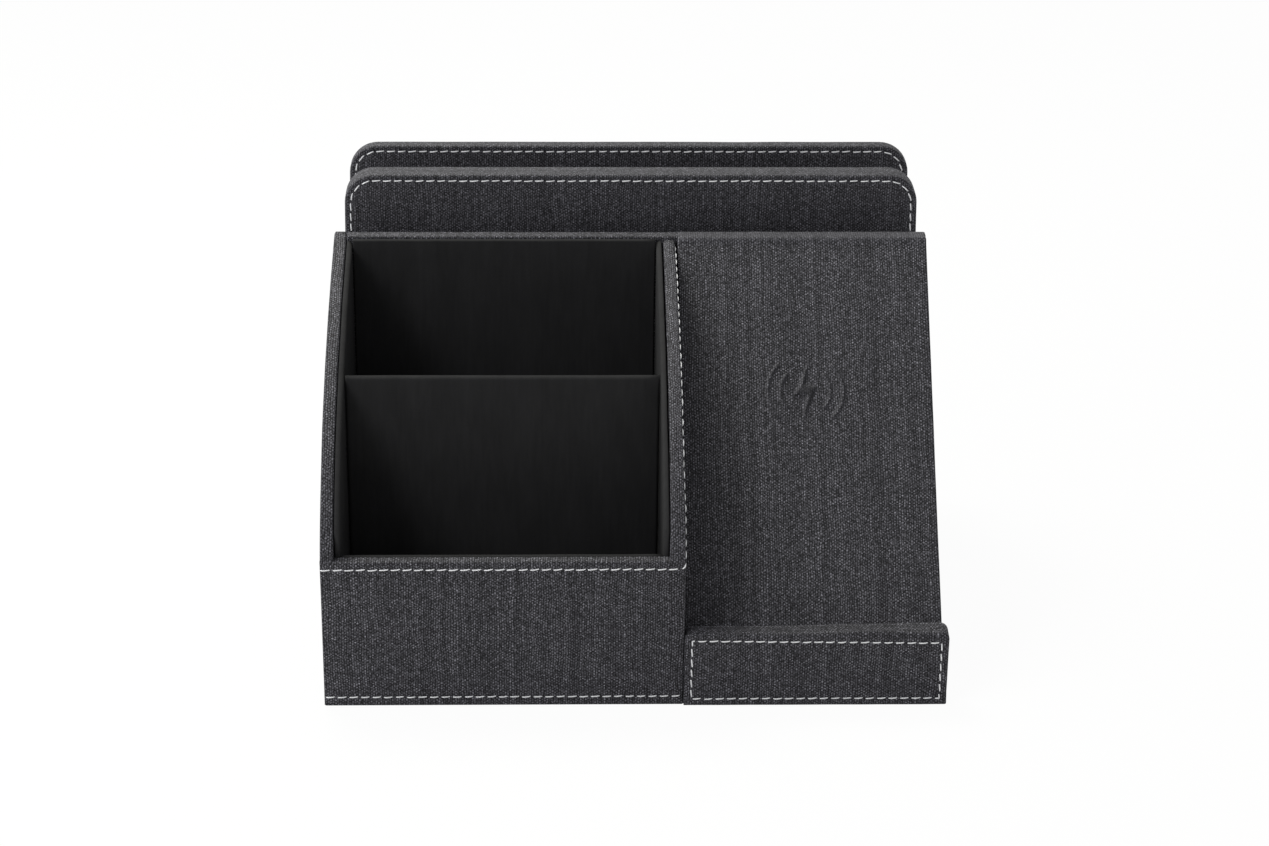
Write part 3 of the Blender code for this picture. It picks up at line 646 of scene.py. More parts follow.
def board_rings(thickness, edge, seam=None, back_seam=None, back_edge=None):
    """Rings from the middle of a board's front round its edge to the middle of its back."""
    back_edge = edge if back_edge is None else back_edge
    middle = (edge + thickness - back_edge) / 2
    front = half_rings(edge, seam, middle)
    back = half_rings(back_edge, back_seam, thickness - middle)
    return front + [(inset, thickness - depth, run, share) for inset, depth, run, share in back[-2::-1]]


def map_face(bm, layer, vertices, places):
    """Add a face, with each corner's place on the unrolled map."""
    face = bm.faces.new(vertices)
    for corner, place in zip(face.loops, places):
        corner[layer].uv = place


def map_grid(bm, layer, rows, closed):
    """Faces between neighbouring rows, which hold pairs of a vertex and its place on the unrolled map."""
    count = len(rows[0])
    for a, b in zip(rows, rows[1:]):
        for k in range(count if closed else count - 1):
            j = (k + 1) % count
            corners = (a[k], a[j], b[j], b[k])
            map_face(bm, layer, [vertex for vertex, _ in corners], [place for _, place in corners])


def new_piece(name, bm, material, node=None):
    """Put a finished mesh in the scene, riding on the body. Where a node is named, it stands for that."""
    bmesh.ops.recalc_face_normals(bm, faces=bm.faces)
    mesh = bpy.data.meshes.new(name)
    bm.to_mesh(mesh)
    bm.free()
    mesh.materials.append(material)
    for polygon in mesh.polygons:
        polygon.use_smooth = True
    piece = bpy.data.objects.new(name, mesh)
    bpy.context.scene.collection.objects.link(piece)
    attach(piece, "root")
    if node:
        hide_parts(node)
    return piece


def board(
    name, node, material, corners, rings, axes, start, segment=SEGMENT, rim=0.0, seam=None, bend=None,
):
    """Covered board: rings of one outline, lofted from face to face, with the cover's unrolled map.

    It starts at a place on its last axis. Inside the rim's width the map runs along the rim. A seam
    outline replaces the first one beyond the rolled edge. A bend moves each point at the end.
    """
    across_axis, up_axis, depth_axis = axes
    origin = depth_axis * start
    bm = bmesh.new()
    layer = bm.loops.layers.uv.new(UNROLLED_MAP)
    across = [0.0]
    for a, b in zip(rings, rings[1:]):
        across.append(across[-1] + math.hypot(b[0] - a[0], b[1] - a[1]))
    around = [0.0]
    base = outline_at(corners, 0.0, segment)
    for a, b in zip(base, base[1:] + base[:1]):
        around.append(around[-1] + (b - a).length)
    loops = []
    maps = []
    for inset, height, unrolled_inset, share in rings:
        line = seam if seam and inset > LIP_EDGE + HOLD else corners
        loop = []
        for p in outline_at(line, inset, segment):
            point = wave(origin + across_axis * p.x + up_axis * p.y + depth_axis * height, share)
            loop.append(bm.verts.new(bend(point) if bend else point))
        loops.append(loop)
        maps.append(outline_at(line, unrolled_inset, segment))
    count = len(base)
    for i in range(len(rings) - 1):
        near, far = across[i], across[i + 1]
        on_rim = max(rings[i][0], rings[i + 1][0]) <= rim
        for k in range(count):
            j = (k + 1) % count
            vertices = (loops[i][k], loops[i][j], loops[i + 1][j], loops[i + 1][k])
            places = (maps[i][k], maps[i][j], maps[i + 1][j], maps[i + 1][k])
            if on_rim:
                places = ((near, around[k]), (near, around[k + 1]), (far, around[k + 1]), (far, around[k]))
            map_face(bm, layer, vertices, places)
    for i in (0, -1):
        map_face(bm, layer, loops[i], maps[i])
    new_piece(name, bm, material, node)


def stitch_row(name, path, normals, seed, closed=False, slant=STITCH_SLANT, size=STITCH_LENGTH):
    """Row of real stitches along a path: each one rises from the cloth, lies aslant and dives in again."""
    rng = random.Random(seed)
    run = list(path) + ([path[0]] if closed else [])
    ups = list(normals) + ([normals[0]] if closed else [])
    lengths = [0.0]
    for a, b in zip(run, run[1:]):
        lengths.append(lengths[-1] + (b - a).length)
    total = lengths[-1]
    count = max(1, round(total / STITCH_PITCH))
    pitch = total / count

    def at(s):
        """Point and outward direction at a length along the path."""
        s = min(max(s, 0.0), total - 1e-9)
        i = max(k for k in range(len(lengths)) if lengths[k] <= s)
        i = min(i, len(run) - 2)
        share = (s - lengths[i]) / max(lengths[i + 1] - lengths[i], 1e-9)
        return run[i].lerp(run[i + 1], share), ups[i].lerp(ups[i + 1], share).normalized()

    bm = bmesh.new()
    layer = bm.loops.layers.uv.new(UNROLLED_MAP)
    for n in range(count):
        length = size * rng.uniform(*LENGTH_SPREAD)
        start = n * pitch + (pitch - length) / 2 + rng.uniform(*ALONG_SPREAD) * MM
        lean = slant * rng.uniform(*SLANT_SPREAD)
        shift = rng.uniform(*ASIDE_SPREAD) * MM
        rise = rng.uniform(*RISE_SPREAD)
        rings = []
        for k in range(STITCH_PARTS + 1):
            t = k / STITCH_PARTS
            s = start + length * t
            point, up = at(s)
            ahead = (at(s + STITCH_PROBE)[0] - at(s - STITCH_PROBE)[0]).normalized()
            side = up.cross(ahead).normalized()
            arch = math.sin(math.pi * t) ** THREAD_ARCH if 0 < t < 1 else 0.0
            radius = THREAD / 2 * (THREAD_END + (1 - THREAD_END) * arch)
            lift = THREAD_RISE * arch * rise - THREAD_DIVE
            centre = point + side * (shift + lean * (t - 0.5)) + up * lift
            ring = []
            for q in range(STITCH_SIDES):
                angle = 2 * math.pi * q / STITCH_SIDES
                aside = side * (radius * math.cos(angle))
                above = up * (THREAD_FLATNESS * radius * math.sin(angle))
                ring.append(bm.verts.new(centre + aside + above))
            rings.append(ring)
        for k in range(STITCH_PARTS):
            near, far = length * k / STITCH_PARTS, length * (k + 1) / STITCH_PARTS
            for q in range(STITCH_SIDES):
                r = (q + 1) % STITCH_SIDES
                first, last = q / STITCH_SIDES, (q + 1) / STITCH_SIDES
                vertices = (rings[k][q], rings[k][r], rings[k + 1][r], rings[k + 1][q])
                map_face(bm, layer, vertices, ((near, first), (near, last), (far, last), (far, first)))
        bm.faces.new(rings[0])
        bm.faces.new(rings[-1])
    new_piece(name, bm, thread)


def side_rim(back):
    """Corners of a side board along its rim, down to the top of the front cloth."""
    rim = rim_run(body_front, back)
    rim[-1] = (body_front, front_top, 0)
    return rim


def centre_lean(y):
    """How far the centre board's outer face draws in behind the front cloth."""
    share = eased((y - body_front - wall) / CENTRE_LEAN_RUN)
    far = max(0.0, (y - body_front) / (body_back - body_front))
    return CENTRE_LEAN * share * (CENTRE_LEAN_SHARE + CENTRE_LEAN_GROWTH * far ** 3)


def centre_thin(point):
    """The centre board is thinner than its place, on both faces."""
    if point.x > pen_box_right - centre_wall / 2:
        return point - X * centre_lean(point.y)
    return point + X * (CENTRE_LEAN_INSIDE * centre_lean(point.y))


def make_side_boards():
    """Left and centre side boards. The outline lies in depth and height, and the left face is its front."""
    corners = [(body_front + FRONT_FOLD, board_foot, 0), (body_back, board_foot, 0)] + side_rim(body_back)
    board(
        "left_side_cloth", "left_side_board", cloth_side_painted_shade, corners, board_rings(wall, WALL_EDGE),
        SIDEWAYS, body_left, SIDE_SEGMENT, rim=WALL_EDGE,
    )
    notch_top = high["base_board"].z + NOTCH_GAP
    corners = [
        (body_front + FRONT_FOLD, board_foot, 0), (body_front + wall, board_foot, 0),
        (body_front + wall, notch_top, 0), (centre_back, notch_top, 0),
    ]
    board(
        "centre_side_cloth", "centre_side_board", cloth_unrolled, corners + side_rim(centre_back),
        board_rings(centre_wall, WALL_EDGE), SIDEWAYS, pen_box_right - centre_wall, CENTRE_SEGMENT,
        rim=WALL_EDGE, bend=centre_thin,
    )


def groove_rows(seam):
    """Rows of the front cloth over a sewn groove: height and depth."""
    profile = reversed(SEAM_PROFILE)
    return [(seam + offset * SEAM_HALF_WIDTH, share * SEAM_DEPTH) for offset, share in profile]


def front_rows(foot):
    """Rows of the front cloth from its foot over the top edge: height, depth, unrolled height, waviness."""
    edge = WALL_EDGE
    hem = foot + FRONT_FOOT_EDGE * (1 - math.pi / 2)
    rows = [(foot + depth, inset, hem + run, 0.0) for inset, depth, run in rolled(FRONT_FOOT_EDGE)]
    foot_seam = foot + FRONT_SEAM_FOOT
    top_seam = front_top - FRONT_SEAM_TOP
    between = top_seam - foot_seam - 2 * SEAM_HALF_WIDTH
    face = groove_rows(foot_seam)
    for k in range(1, FRONT_ROWS):
        z = foot_seam + SEAM_HALF_WIDTH + between * k / FRONT_ROWS
        face.append((z, -FRONT_BULGE * math.sin(math.pi * k / FRONT_ROWS) ** 0.5))
    face += groove_rows(top_seam)
    rows += [(z, depth, z, 0.5) for z, depth in face]
    roll = rolled(edge)
    rows += [(front_top - inset, depth, front_top - edge + run, 1.0) for inset, depth, run in roll]
    rows.append((front_top, wall / 2, front_top - edge + edge * math.pi / 2 + wall / 2 - edge, 1.0))
    for inset, depth, run in reversed(roll):
        rows.append((front_top - inset, wall - depth, front_top + wall - run, 1.0))
    rows.append((front_top - FRONT_TUCK, wall, front_top + wall + FRONT_TUCK, 0.0))
    return rows


def front_columns(left, right):
    """Columns of the front cloth from side to side: place, depth, unrolled place, waviness."""
    edge = WALL_EDGE
    width = right - left
    roll = rolled(edge)
    columns = [(left, wall, -wall, 0.0), (left, edge, -edge * (math.pi / 2 - 1), 0.6)]
    columns += [(left + inset, depth, edge - run, 1.0) for inset, depth, run in roll[-2::-1]]
    for k in range(1, FRONT_COLUMNS):
        run = edge + (width - 2 * edge) * k / FRONT_COLUMNS
        columns.append((left + run, 0.0, run, 1.0))
    columns += [(right - inset, depth, width - edge + run, 1.0) for inset, depth, run in roll[:-1]]
    columns += [(right, edge, width - edge + edge * math.pi / 2, 0.6), (right, wall, width + wall, 0.0)]
    return columns


def make_front_cloth():
    """Front of the pen box: one cloth over the front board and both side boards' ends, with two seams."""
    edge = WALL_EDGE
    face = body_front - SKIN
    columns = front_columns(body_left - SKIN, pen_box_right + SKIN)
    bm = bmesh.new()
    layer = bm.loops.layers.uv.new(UNROLLED_MAP)
    rows = []
    for z, depth, v, share in front_rows(board_foot - SKIN):
        line = []
        for x, side_depth, u, side_share in columns:
            y = face + max(depth, side_depth)
            if 0 < depth < edge and 0 < side_depth < edge:
                ball = (edge - depth) ** 2 + (edge - side_depth) ** 2 - edge ** 2
                y = face + edge - math.sqrt(max(ball, 0.0))
            line.append((bm.verts.new(wave(Vector((x, y, z)), share * side_share)), (u, v)))
        rows.append(line)
    map_grid(bm, layer, rows, closed=False)
    bmesh.ops.holes_fill(bm, edges=[border for border in bm.edges if border.is_boundary])
    new_piece("pen_box_front_cloth", bm, cloth_unrolled, "pen_box_front_board")


def plain_board(name, node, material, edge, drop=0.0):
    """Upright board across the body, its top lowered by a drop."""
    first, last = low[node], high[node]
    corners = rectangle(first.x, last.x, first.z, last.z - drop)
    board(name, node, material, corners, board_rings(last.y - first.y, edge), FACING, first.y)


def rack_corners(node):
    """Rack panel's outline: a little narrower at the top, with two rounded corners."""
    x0, x1 = low[node].x, high[node].x
    z0, z1 = low[node].z, high[node].z
    return [
        (x0, z0, 0), (x1, z0, 0), (x1 - RACK_TAPER, z1, RACK_CORNER), (x0 + RACK_TAPER, z1, RACK_CORNER),
    ]


def open_path(corners, inset, skip):
    """The outline's run from its right foot over the top to its left foot, without its ends."""
    points = outline_at(corners, inset, PATH_SEGMENT)
    right_foot = min(range(len(points)), key=lambda k: (points[k] - Vector(corners[1][:2])).length)
    run = points[right_foot:] + [points[0]]
    return [p for p in run if p.y > corners[0][1] + skip]


def make_rack():
    """Both panels of the letter rack, with stitches on their front and rear faces."""
    for node, seeds in (("rack_front_panel", (16, 15)), ("rack_rear_panel", (26, 25))):
        near, far = low[node].y, high[node].y
        corners = rack_corners(node)
        rings = board_rings(far - near, RACK_EDGE, RACK_SEAM, RACK_SEAM, RACK_REAR_EDGE)
        board(node.replace("panel", "cloth"), node, cloth_rack, corners, rings, FACING, near)
        path = open_path(corners, RACK_SEAM, RACK_SEAM_FOOT)
        faces = (("front", near + SEAM_DEPTH, -Y), ("rear", far - SEAM_DEPTH, Y))
        for (side, y, up), seed in zip(faces, seeds):
            line = [Vector((p.x, y, p.y)) for p in path]
            stitch_row(node.replace("panel", "stitches_") + side, line, [up] * len(line), seed)


def lip_outline(fall):
    """Outline of the lip, its top falling towards the right."""
    left = lip_low.x - LIP_REACH
    return [
        (left, lip_low.z, LIP_LEFT_FOOT_CORNER), (lip_high.x, lip_low.z, LIP_FOOT_CORNER),
        (lip_high.x, lip_high.z - fall, LIP_CORNER), (left, lip_high.z, LIP_CORNER),
    ]


def lip_swell(point):
    """The lip's top grows taller at its back towards the right, where the cloth is folded over."""
    size = lip_high - lip_low
    depth = point.y - lip_low.y
    if point.z < lip_low.z + LIP_EDGE and depth < 1.05 * LIP_EDGE:
        return point - Y * (LIP_FOOT_SQUARENESS * depth)
    share = (point.x - lip_low.x) / size.x
    across = eased((share - LIP_SWELL_START) / (1 - LIP_SWELL_START))
    above = max(0.0, (point.z - lip_low.z) / size.z - LIP_SWELL_FOOT) / (1 - LIP_SWELL_FOOT)
    bulge = LIP_BULGE * math.exp(-((share - LIP_BULGE_PLACE) * size.x / LIP_BULGE_WIDTH) ** 2)
    bulge *= math.exp(-((depth - LIP_BULGE_DEPTH) / LIP_BULGE_DEPTH) ** 2)
    return point + Z * ((LIP_SWELL * across * depth / size.y + bulge) * above)


def make_lip():
    """Lip of the phone rest, with its ring of stitches."""
    seam = lip_outline(LIP_SEAM_FALL)
    board(
        "phone_lip_cloth", "phone_lip_board", cloth_unrolled, lip_outline(0.0),
        board_rings(lip_high.y - lip_low.y, LIP_EDGE, LIP_SEAM), FACING, lip_low.y,
        seam=seam, bend=lip_swell,
    )
    path = [Vector((p.x, lip_low.y + SEAM_DEPTH, p.y)) for p in outline_at(seam, LIP_SEAM, PATH_SEGMENT)]
    stitch_row("phone_lip_stitches", path, [-Y] * len(path), 31, closed=True)


def make_front_stitches():
    """Seams of the front. The top one turns up and follows the right edge of the centre board's rim."""
    seam_y = body_front - SKIN + SEAM_DEPTH
    foot_z = board_foot + FRONT_SEAM_FOOT
    top_z = front_top - FRONT_SEAM_TOP

    def level_path(ends, z):
        start, end = ends
        return [Vector((body_left + start, seam_y, z)), Vector((pen_box_right - end, seam_y, z))]

    stitch_row("front_foot_stitches", level_path(FRONT_FOOT_ENDS, foot_z), [-Y] * 2, 41)
    stitch_row(
        "front_top_stitches", level_path(FRONT_TOP_ENDS, top_z), [-Y] * 2, 42,
        slant=FRONT_TOP_SLANT, size=FRONT_TOP_LENGTH,
    )
    path = [Vector((pen_box_right - a * MM, seam_y, top_z + b * MM)) for a, b in RIM_TURN]
    ups = [-Y] * len(path)
    for k in range(RIM_STEPS + 1):
        t = RIM_SEAM_START + RIM_SEAM_SHARE * k / RIM_STEPS
        y, z = rim_point(t)
        ahead = (Vector(rim_point(t + RIM_PROBE)) - Vector(rim_point(t - RIM_PROBE))).normalized()
        x = pen_box_right - RIM_SEAM_SINK - centre_lean(y)
        path.append(Vector((x, y + ahead.y * RIM_SEAM, z - ahead.x * RIM_SEAM)))
        ups.append(Vector((1.0, -RIM_SEAM_TILT * ahead.y, RIM_SEAM_TILT * ahead.x)).normalized())
    stitch_row("centre_rim_stitches", path, ups, 43, slant=RIM_SEAM_SLANT)


def bolt_depth(x, y):
    """Distance to the bolt's outline, positive inside it."""
    inside = False
    nearest = 1.0
    points = [Vector((a * MM, b * MM)) for a, b in BOLT]
    here = Vector((x, y))
    for a, b in zip(points, points[1:] + points[:1]):
        side = b - a
        share = min(1.0, max(0.0, (here - a).dot(side) / side.length_squared))
        nearest = min(nearest, (here - a - side * share).length)
        if (a.y > y) != (b.y > y) and x < a.x + side.x * (y - a.y) / side.y:
            inside = not inside
    return nearest if inside else -nearest


def arc_depth(x, y):
    """Distance to the edge of the nearest arc, positive inside it."""
    deepest = -1.0
    angle = math.degrees(math.atan2(y, abs(x)))
    for radius, half_angle in zip(ARC_RADII, ARC_HALF_ANGLES):
        if abs(angle) <= half_angle:
            from_arc = abs(math.hypot(x, y) - radius)
        else:
            end = math.radians(math.copysign(half_angle, angle))
            from_arc = math.hypot(abs(x) - radius * math.cos(end), y - radius * math.sin(end))
        deepest = max(deepest, ARC_HALF_WIDTH - from_arc)
    return deepest


def flank_rise(depth, reach):
    """Rise of a shape's flank from 0 to 1 at a depth inside its outline."""
    return eased((depth + SIGN_BLUR) / (reach + SIGN_BLUR))


def sign_height(x, y):
    """Rise of the charging sign from 0 to 1, at a place from its middle."""
    bolt = flank_rise(bolt_depth(x, y), BOLT_REACH)
    return max(bolt, ARC_SHARE * flank_rise(arc_depth(x, y), ARC_HALF_WIDTH))


def painted_sign_light(x, y):
    """Painted light and shade of the sign, by the side that its surface faces: 1 is left and painted
    lighter, -1 is right and painted darker, and it is lower, with painted shade, on the bolt's middle.
    """
    slope = (sign_height(x + SIGN_PROBE, y) - sign_height(x - SIGN_PROBE, y)) / (2 * SIGN_PROBE)
    painted_light_mark = min(1.0, max(-1.0, slope * BOLT_REACH))
    middle = flank_rise(bolt_depth(x - BOLT_SHIFT, y) - BOLT_MIDDLE_START, BOLT_MIDDLE_REACH)
    return painted_light_mark - BOLT_MIDDLE_PAINTED_SHADE * middle


def panel_profile():
    """Side view of the panel's cloth: up the slope, round the crease, then level over the back board.

    Gives the function from a length on the cloth to its point and outward direction, the length at
    which the crease starts, the crease's own length and the whole length.
    """
    cover_low, cover_high = low["phone_panel_cover"], high["phone_panel_cover"]
    turn_y = cover_high.y - PANEL_TOP_FLAT
    rise = cover_high.z - cover_low.z
    slope = math.atan2(rise, turn_y - cover_low.y)
    for _ in range(SLOPE_PASSES):
        slope = math.atan2(rise - PANEL_COVER / math.cos(slope), turn_y - cover_low.y)
    up = Vector((0.0, math.cos(slope), math.sin(slope)))
    level_z = back_top + SKIN
    turn_y += (level_z - cover_high.z) / math.tan(slope)
    turn = Vector((0.0, turn_y, level_z))
    foot = turn - up * ((turn_y - lip_high.y - PANEL_FOOT_GAP) / math.cos(slope))
    bend = CREASE * math.tan(slope / 2)
    straight = (turn - foot).length - bend
    arc = CREASE * slope
    length = straight + arc + body_back + SKIN - turn_y - bend

    def surface(s):
        if s <= straight:
            return foot + up * s, Vector((0.0, -up.z, up.y))
        angle = slope * max(0.0, 1.0 - (s - straight) / arc)
        out = Vector((0.0, -math.sin(angle), math.cos(angle)))
        centre = Vector((0.0, turn_y + bend, level_z - CREASE))
        return centre + out * CREASE + Y * max(0.0, s - straight - arc), out

    return surface, straight, arc, length


def panel_places(start, end, centre, reach):
    """Places across or along the panel: close together on its rolled edges and within reach of the sign."""
    first = start + PANEL_EDGE_REACH * WALL_EDGE
    last = end - PANEL_EDGE_REACH * WALL_EDGE
    places = [first]
    while places[-1] < last:
        step = PANEL_FINE if abs(places[-1] + PANEL_FINE / 2 - centre) < reach else PANEL_COARSE
        if places[-1] < centre - reach < places[-1] + step:
            step = centre - reach - places[-1] + 1e-6
        places.append(places[-1] + step)
    places[-1] = last
    near_edge = [start + share * WALL_EDGE for share in PANEL_EDGE_SHARES]
    far_edge = [end - share * WALL_EDGE for share in reversed(PANEL_EDGE_SHARES)]
    return near_edge + places + far_edge


def roll_depth(gap):
    """How far a rolled edge lies below the face, by the distance from the border."""
    if gap >= WALL_EDGE:
        return 0.0
    return WALL_EDGE - math.sqrt(max(WALL_EDGE * WALL_EDGE - (WALL_EDGE - gap) ** 2, 0.0))


def make_panel_cloth():
    """Cloth of the phone panel, with the charging sign and its painted light and shade, and the swollen
    crease with a painted highlight.
    """
    surface, straight, arc, length = panel_profile()
    middle = (rest_left + rest_right) / 2 + SIGN_ACROSS
    across = panel_places(rest_left, rest_right, middle, SIGN_REACH_ACROSS)
    along = panel_places(0.0, length, SIGN_UP_SLOPE, SIGN_REACH_ALONG)
    along = [s for s in along if s < straight - CREASE_CLEAR or s > length - 3 * WALL_EDGE]
    along += [straight - CREASE_STEP * k for k in range(CREASE_STEPS, 0, -1)]
    along += [straight + arc * k / ROLL_STEPS for k in range(ROLL_STEPS + 1)]
    bm = bmesh.new()
    layer = bm.loops.layers.uv.new(UNROLLED_MAP)
    rows = []
    marks = []
    for s in sorted(along):
        base, out = surface(s)
        # Painted highlight along the crease, joined to the sign's painted light and shade in one mark
        crease_painted_highlight = CREASE_PAINTED_LIGHT * math.exp(-(max(0.0, straight - s) / CREASE_FADE) ** 2)
        swell = CREASE_SWELL * math.exp(-((s - straight) / CREASE_SPREAD) ** 2)
        line = []
        for x in across:
            near = min(x - rest_left, rest_right - x, s, length - s)
            height = SIGN_RISE * sign_height(x - middle, s - SIGN_UP_SLOPE) + swell - roll_depth(near)
            place = wave(base + out * height + X * x, 0.8 if near < 3 * WALL_EDGE else 0.0)
            line.append((bm.verts.new(place), (x, s)))
            marks.append(crease_painted_highlight + painted_sign_light(x - middle, s - SIGN_UP_SLOPE))
        for x in (rest_right, rest_left):
            line.append((bm.verts.new(base - out * (PANEL_COVER - PANEL_BACK_GAP) + X * x), (x, s)))
            marks.append(0.0)
        rows.append(line)
    map_grid(bm, layer, rows, closed=True)
    for line in (rows[0], rows[-1]):
        bm.faces.new([vertex for vertex, _ in line])
    piece = new_piece("phone_panel_cloth", bm, cloth_panel_painted_light, "phone_panel_cover")
    # This mark carries the painted light and shade of the sign and the painted highlight of the crease
    attribute = piece.data.attributes.new(PAINTED_LIGHT_ATTRIBUTE, "FLOAT", "POINT")
    attribute.data.foreach_set("value", marks)


def make_linings():
    """Flannel of the pen box: both sides under the curved rim, front, divider, back and floor."""
    for node, edge, back_edge in (
        ("lining_left", LINING_EDGE, LINING_SOFT_EDGE), ("lining_right", LINING_SOFT_EDGE, LINING_EDGE),
    ):
        first, last = low[node], high[node]
        corners = [(first.y, first.z, 0), (last.y, first.z, 0)] + rim_run(first.y, last.y, LINING_DROP)
        # Both side linings use the flannel copy with painted light
        board(
            node.replace("lining", "flannel"), node, side_flannel_painted_light, corners,
            board_rings(last.x - first.x, edge, back_edge=back_edge), SIDEWAYS, first.x, LINING_SEGMENT,
        )
    plain_board("flannel_front", "lining_front", black_flannel, LINING_EDGE, LINING_FRONT_DROP)
    plain_board("flannel_divider", "pen_box_divider", black_flannel, DIVIDER_EDGE, DIVIDER_DROP)
    plain_board("flannel_back", "lining_back", black_flannel, LINING_EDGE)
    first, last = low["lining_floor"], high["lining_floor"]
    board(
        "flannel_floor", "lining_floor", black_flannel,
        rectangle(first.x, last.x, first.y, last.y), board_rings(last.z - first.z, LINING_EDGE),
        LEVEL, first.z,
    )


def finish_nodes():
    """Materials of the nodes that stay as they are."""
    fibreboard = grained("fibreboard", (0.19, 0.14, 0.10), 0.85, 1.2, 0.06, 0.25, stretch=(1, 1, 3))
    chip = grained("chip_epoxy", (0.012, 0.012, 0.013), 0.5, 4.0, 0.02, 0.2)
    capacitor = grained("capacitor_ceramic", (0.30, 0.19, 0.10), 0.5, 3.0, 0.02, 0.12)
    finishes = {
        "right_side_board": cloth_boxed,
        "phone_panel_board": cloth_boxed,
        "rack_floor_board": cloth_boxed,
        "base_felt": felt,
        "rack_felt": felt,
        "base_board": fibreboard,
        "panel_cleat": fibreboard,
        "charger_tray": grained("tray_plastic", (0.02, 0.02, 0.022), 0.5, 1.5, 0.03),
        "ferrite_plate": grained("ferrite", (0.03, 0.03, 0.033), 0.6, 3.0, 0.04, 0.3),
        "charging_coil": grained("litz_copper", (0.42, 0.16, 0.06), 0.42, 4.0, 0.05, 0.3, 0.6),
        "charger_pcb": circuit_board("circuit_board"),
        "pcb_foam_pad": grained("foam", (0.05, 0.05, 0.05), 0.95, 1.6, 0.2, 0.3),
        "usb_c_shell": grained(
            "drawn_steel", (0.55, 0.55, 0.56), 0.3, 1.0, 0.01, 0.06, 1.0, stretch=(0.3, 6, 6),
        ),
        "usb_c_tongue": grained("socket_tongue", (0.03, 0.03, 0.03), 0.5, 3.0, 0.01),
        "controller_chip": chip,
        "power_stage_chip": chip,
        "power_inductor": chip,
    }
    for number in range(1, 5):
        finishes[f"resonance_capacitor_{number}"] = capacitor
    for name, material in finishes.items():
        nodes[name].data.materials.clear()
        nodes[name].data.materials.append(material)


def seen_share(m):
    """1 for the camera and for what shiny and clear surfaces show of the surroundings, otherwise 0."""
    rays = m.add("ShaderNodeLightPath")
    seen = m.math("MAXIMUM", rays.outputs["Is Camera Ray"], rays.outputs["Is Glossy Ray"])
    return m.math("MAXIMUM", seen, rays.outputs["Is Transmission Ray"])


def floor_material():
    """White floor: almost pure white to the camera, keeping a faint shadow."""
    m = new_material("studio_floor")
    glow = m.add("ShaderNodeEmission")
    glow.inputs["Color"].default_value = (*WHITE, 1.0)
    glow.inputs["Strength"].default_value = 1.0
    m.shader.inputs["Base Color"].default_value = (FLOOR_GREY, FLOOR_GREY, FLOOR_GREY, 1.0)
    m.shader.inputs["Roughness"].default_value = 0.9
    m.shader.inputs["Specular IOR Level"].default_value = 0.0
    mix = m.add("ShaderNodeMixShader")
    m.link(m.math("MULTIPLY", seen_share(m), FLOOR_WHITE), mix.inputs["Fac"])
    m.link(m.shader.outputs[0], mix.inputs[1])
    m.link(glow.outputs[0], mix.inputs[2])
    m.link(mix.outputs[0], m.tree.nodes["Material Output"].inputs["Surface"])
    return m.owner


def make_floor():
    """Large plain floor under the object."""
    bm = bmesh.new()
    bmesh.ops.create_grid(bm, x_segments=4, y_segments=4, size=FLOOR_SIZE)
    mesh = bpy.data.meshes.new("studio_floor")
    bm.to_mesh(mesh)
    bm.free()
    mesh.materials.append(floor_material())
    floor = bpy.data.objects.new("studio_floor", mesh)
    floor.location.z = cad_low.z - FLOOR_GAP
    bpy.context.scene.collection.objects.link(floor)


def make_world():
    """Soft grey surroundings that the camera sees as white."""
    world = bpy.data.worlds.new("studio")
    bpy.context.scene.world = world
    m = Nodes(world)
    background = m.tree.nodes["Background"]
    background.inputs["Color"].default_value = (*WHITE, 1.0)
    m.link(m.span(seen_share(m), 0.0, 1.0, WORLD_LIGHT, 1.0), background.inputs["Strength"])


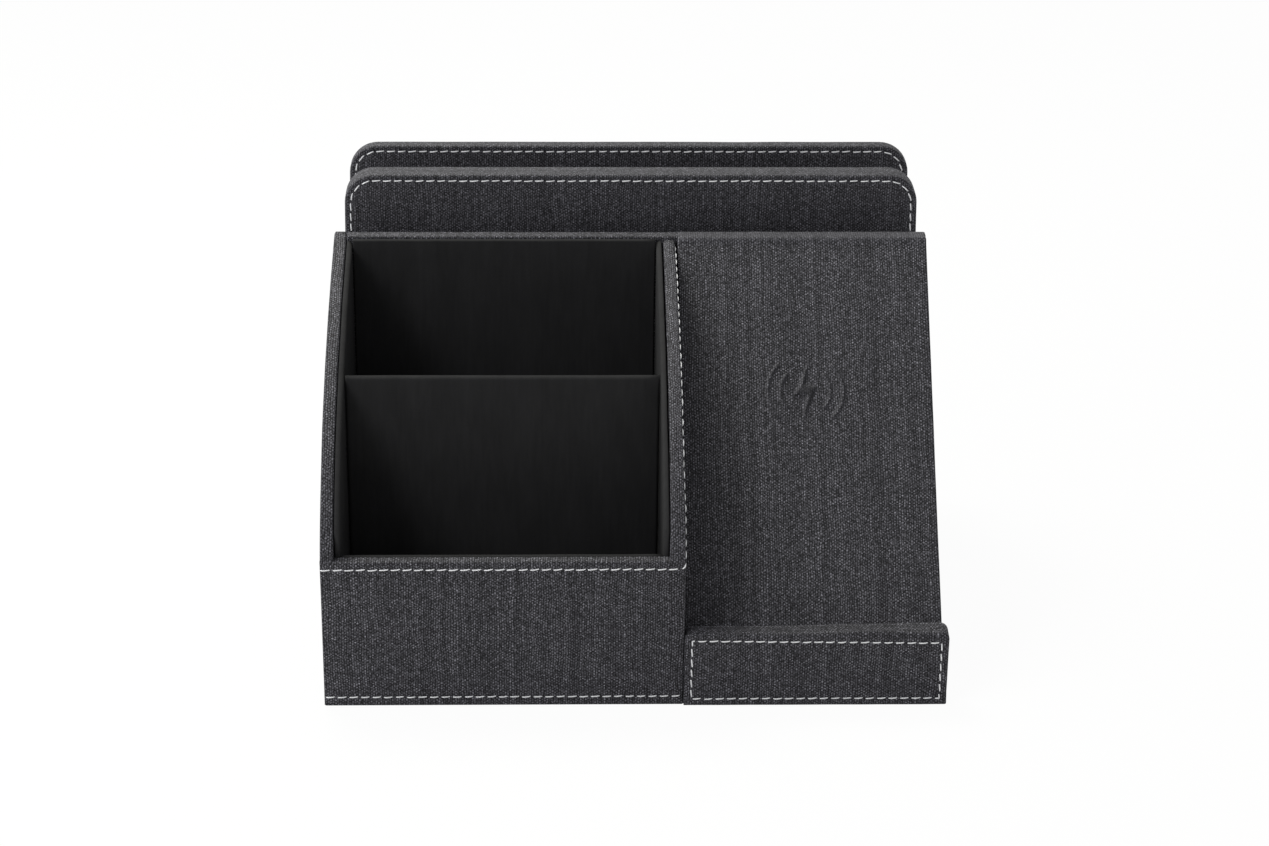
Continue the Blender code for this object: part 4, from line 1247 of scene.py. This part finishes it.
def make_lamp(name, place, power, colour):
    """Soft box that looks at the object."""
    data = bpy.data.lights.new(name, "AREA")
    data.shape = "SQUARE"
    data.size = LAMP_SIZE
    data.energy = power
    data.color = colour
    lamp = bpy.data.objects.new(name, data)
    lamp.location = place
    lamp.rotation_mode = "QUATERNION"
    lamp.rotation_quaternion = (LAMP_AIM - Vector(place)).to_track_quat("-Z", "Y")
    bpy.context.scene.collection.objects.link(lamp)


def make_camera():
    """Camera at the photograph's viewing angle."""
    flat = math.cos(CAMERA_PITCH)
    ahead = Vector((math.sin(CAMERA_YAW) * flat, math.cos(CAMERA_YAW) * flat, -math.sin(CAMERA_PITCH)))
    level = Vector((math.cos(CAMERA_YAW), -math.sin(CAMERA_YAW), 0.0))
    above = level.cross(ahead)
    right = level * math.cos(CAMERA_ROLL) + above * math.sin(CAMERA_ROLL)
    up = above * math.cos(CAMERA_ROLL) - level * math.sin(CAMERA_ROLL)
    data = bpy.data.cameras.new("camera")
    data.lens = LENS
    data.sensor_width = SENSOR_WIDTH
    data.clip_start = NEAREST_SEEN
    data.clip_end = FARTHEST_SEEN
    camera = bpy.data.objects.new("camera", data)
    camera.matrix_world = Matrix((
        (right.x, up.x, -ahead.x, CAMERA_PLACE.x),
        (right.y, up.y, -ahead.y, CAMERA_PLACE.y),
        (right.z, up.z, -ahead.z, CAMERA_PLACE.z),
        (0.0, 0.0, 0.0, 1.0),
    ))
    bpy.context.scene.collection.objects.link(camera)
    bpy.context.scene.camera = camera


make_side_boards()
make_front_cloth()
plain_board("back_cloth", "back_board", cloth_unrolled, WALL_EDGE)
make_rack()
make_lip()
make_front_stitches()
make_panel_cloth()
make_linings()
finish_nodes()

make_floor()
make_world()
make_camera()
make_lamp("key_above", (-0.27, 0.33, 0.88), 8.0, (1.0, 1.0, 0.90))
make_lamp("fill_front", (-0.65, -0.65, 0.70), 3.4, WHITE)
make_lamp("side_left", (-1.05, 0.10, 0.40), 4.0, WHITE)
bpy.context.scene.view_settings.view_transform = "Standard"
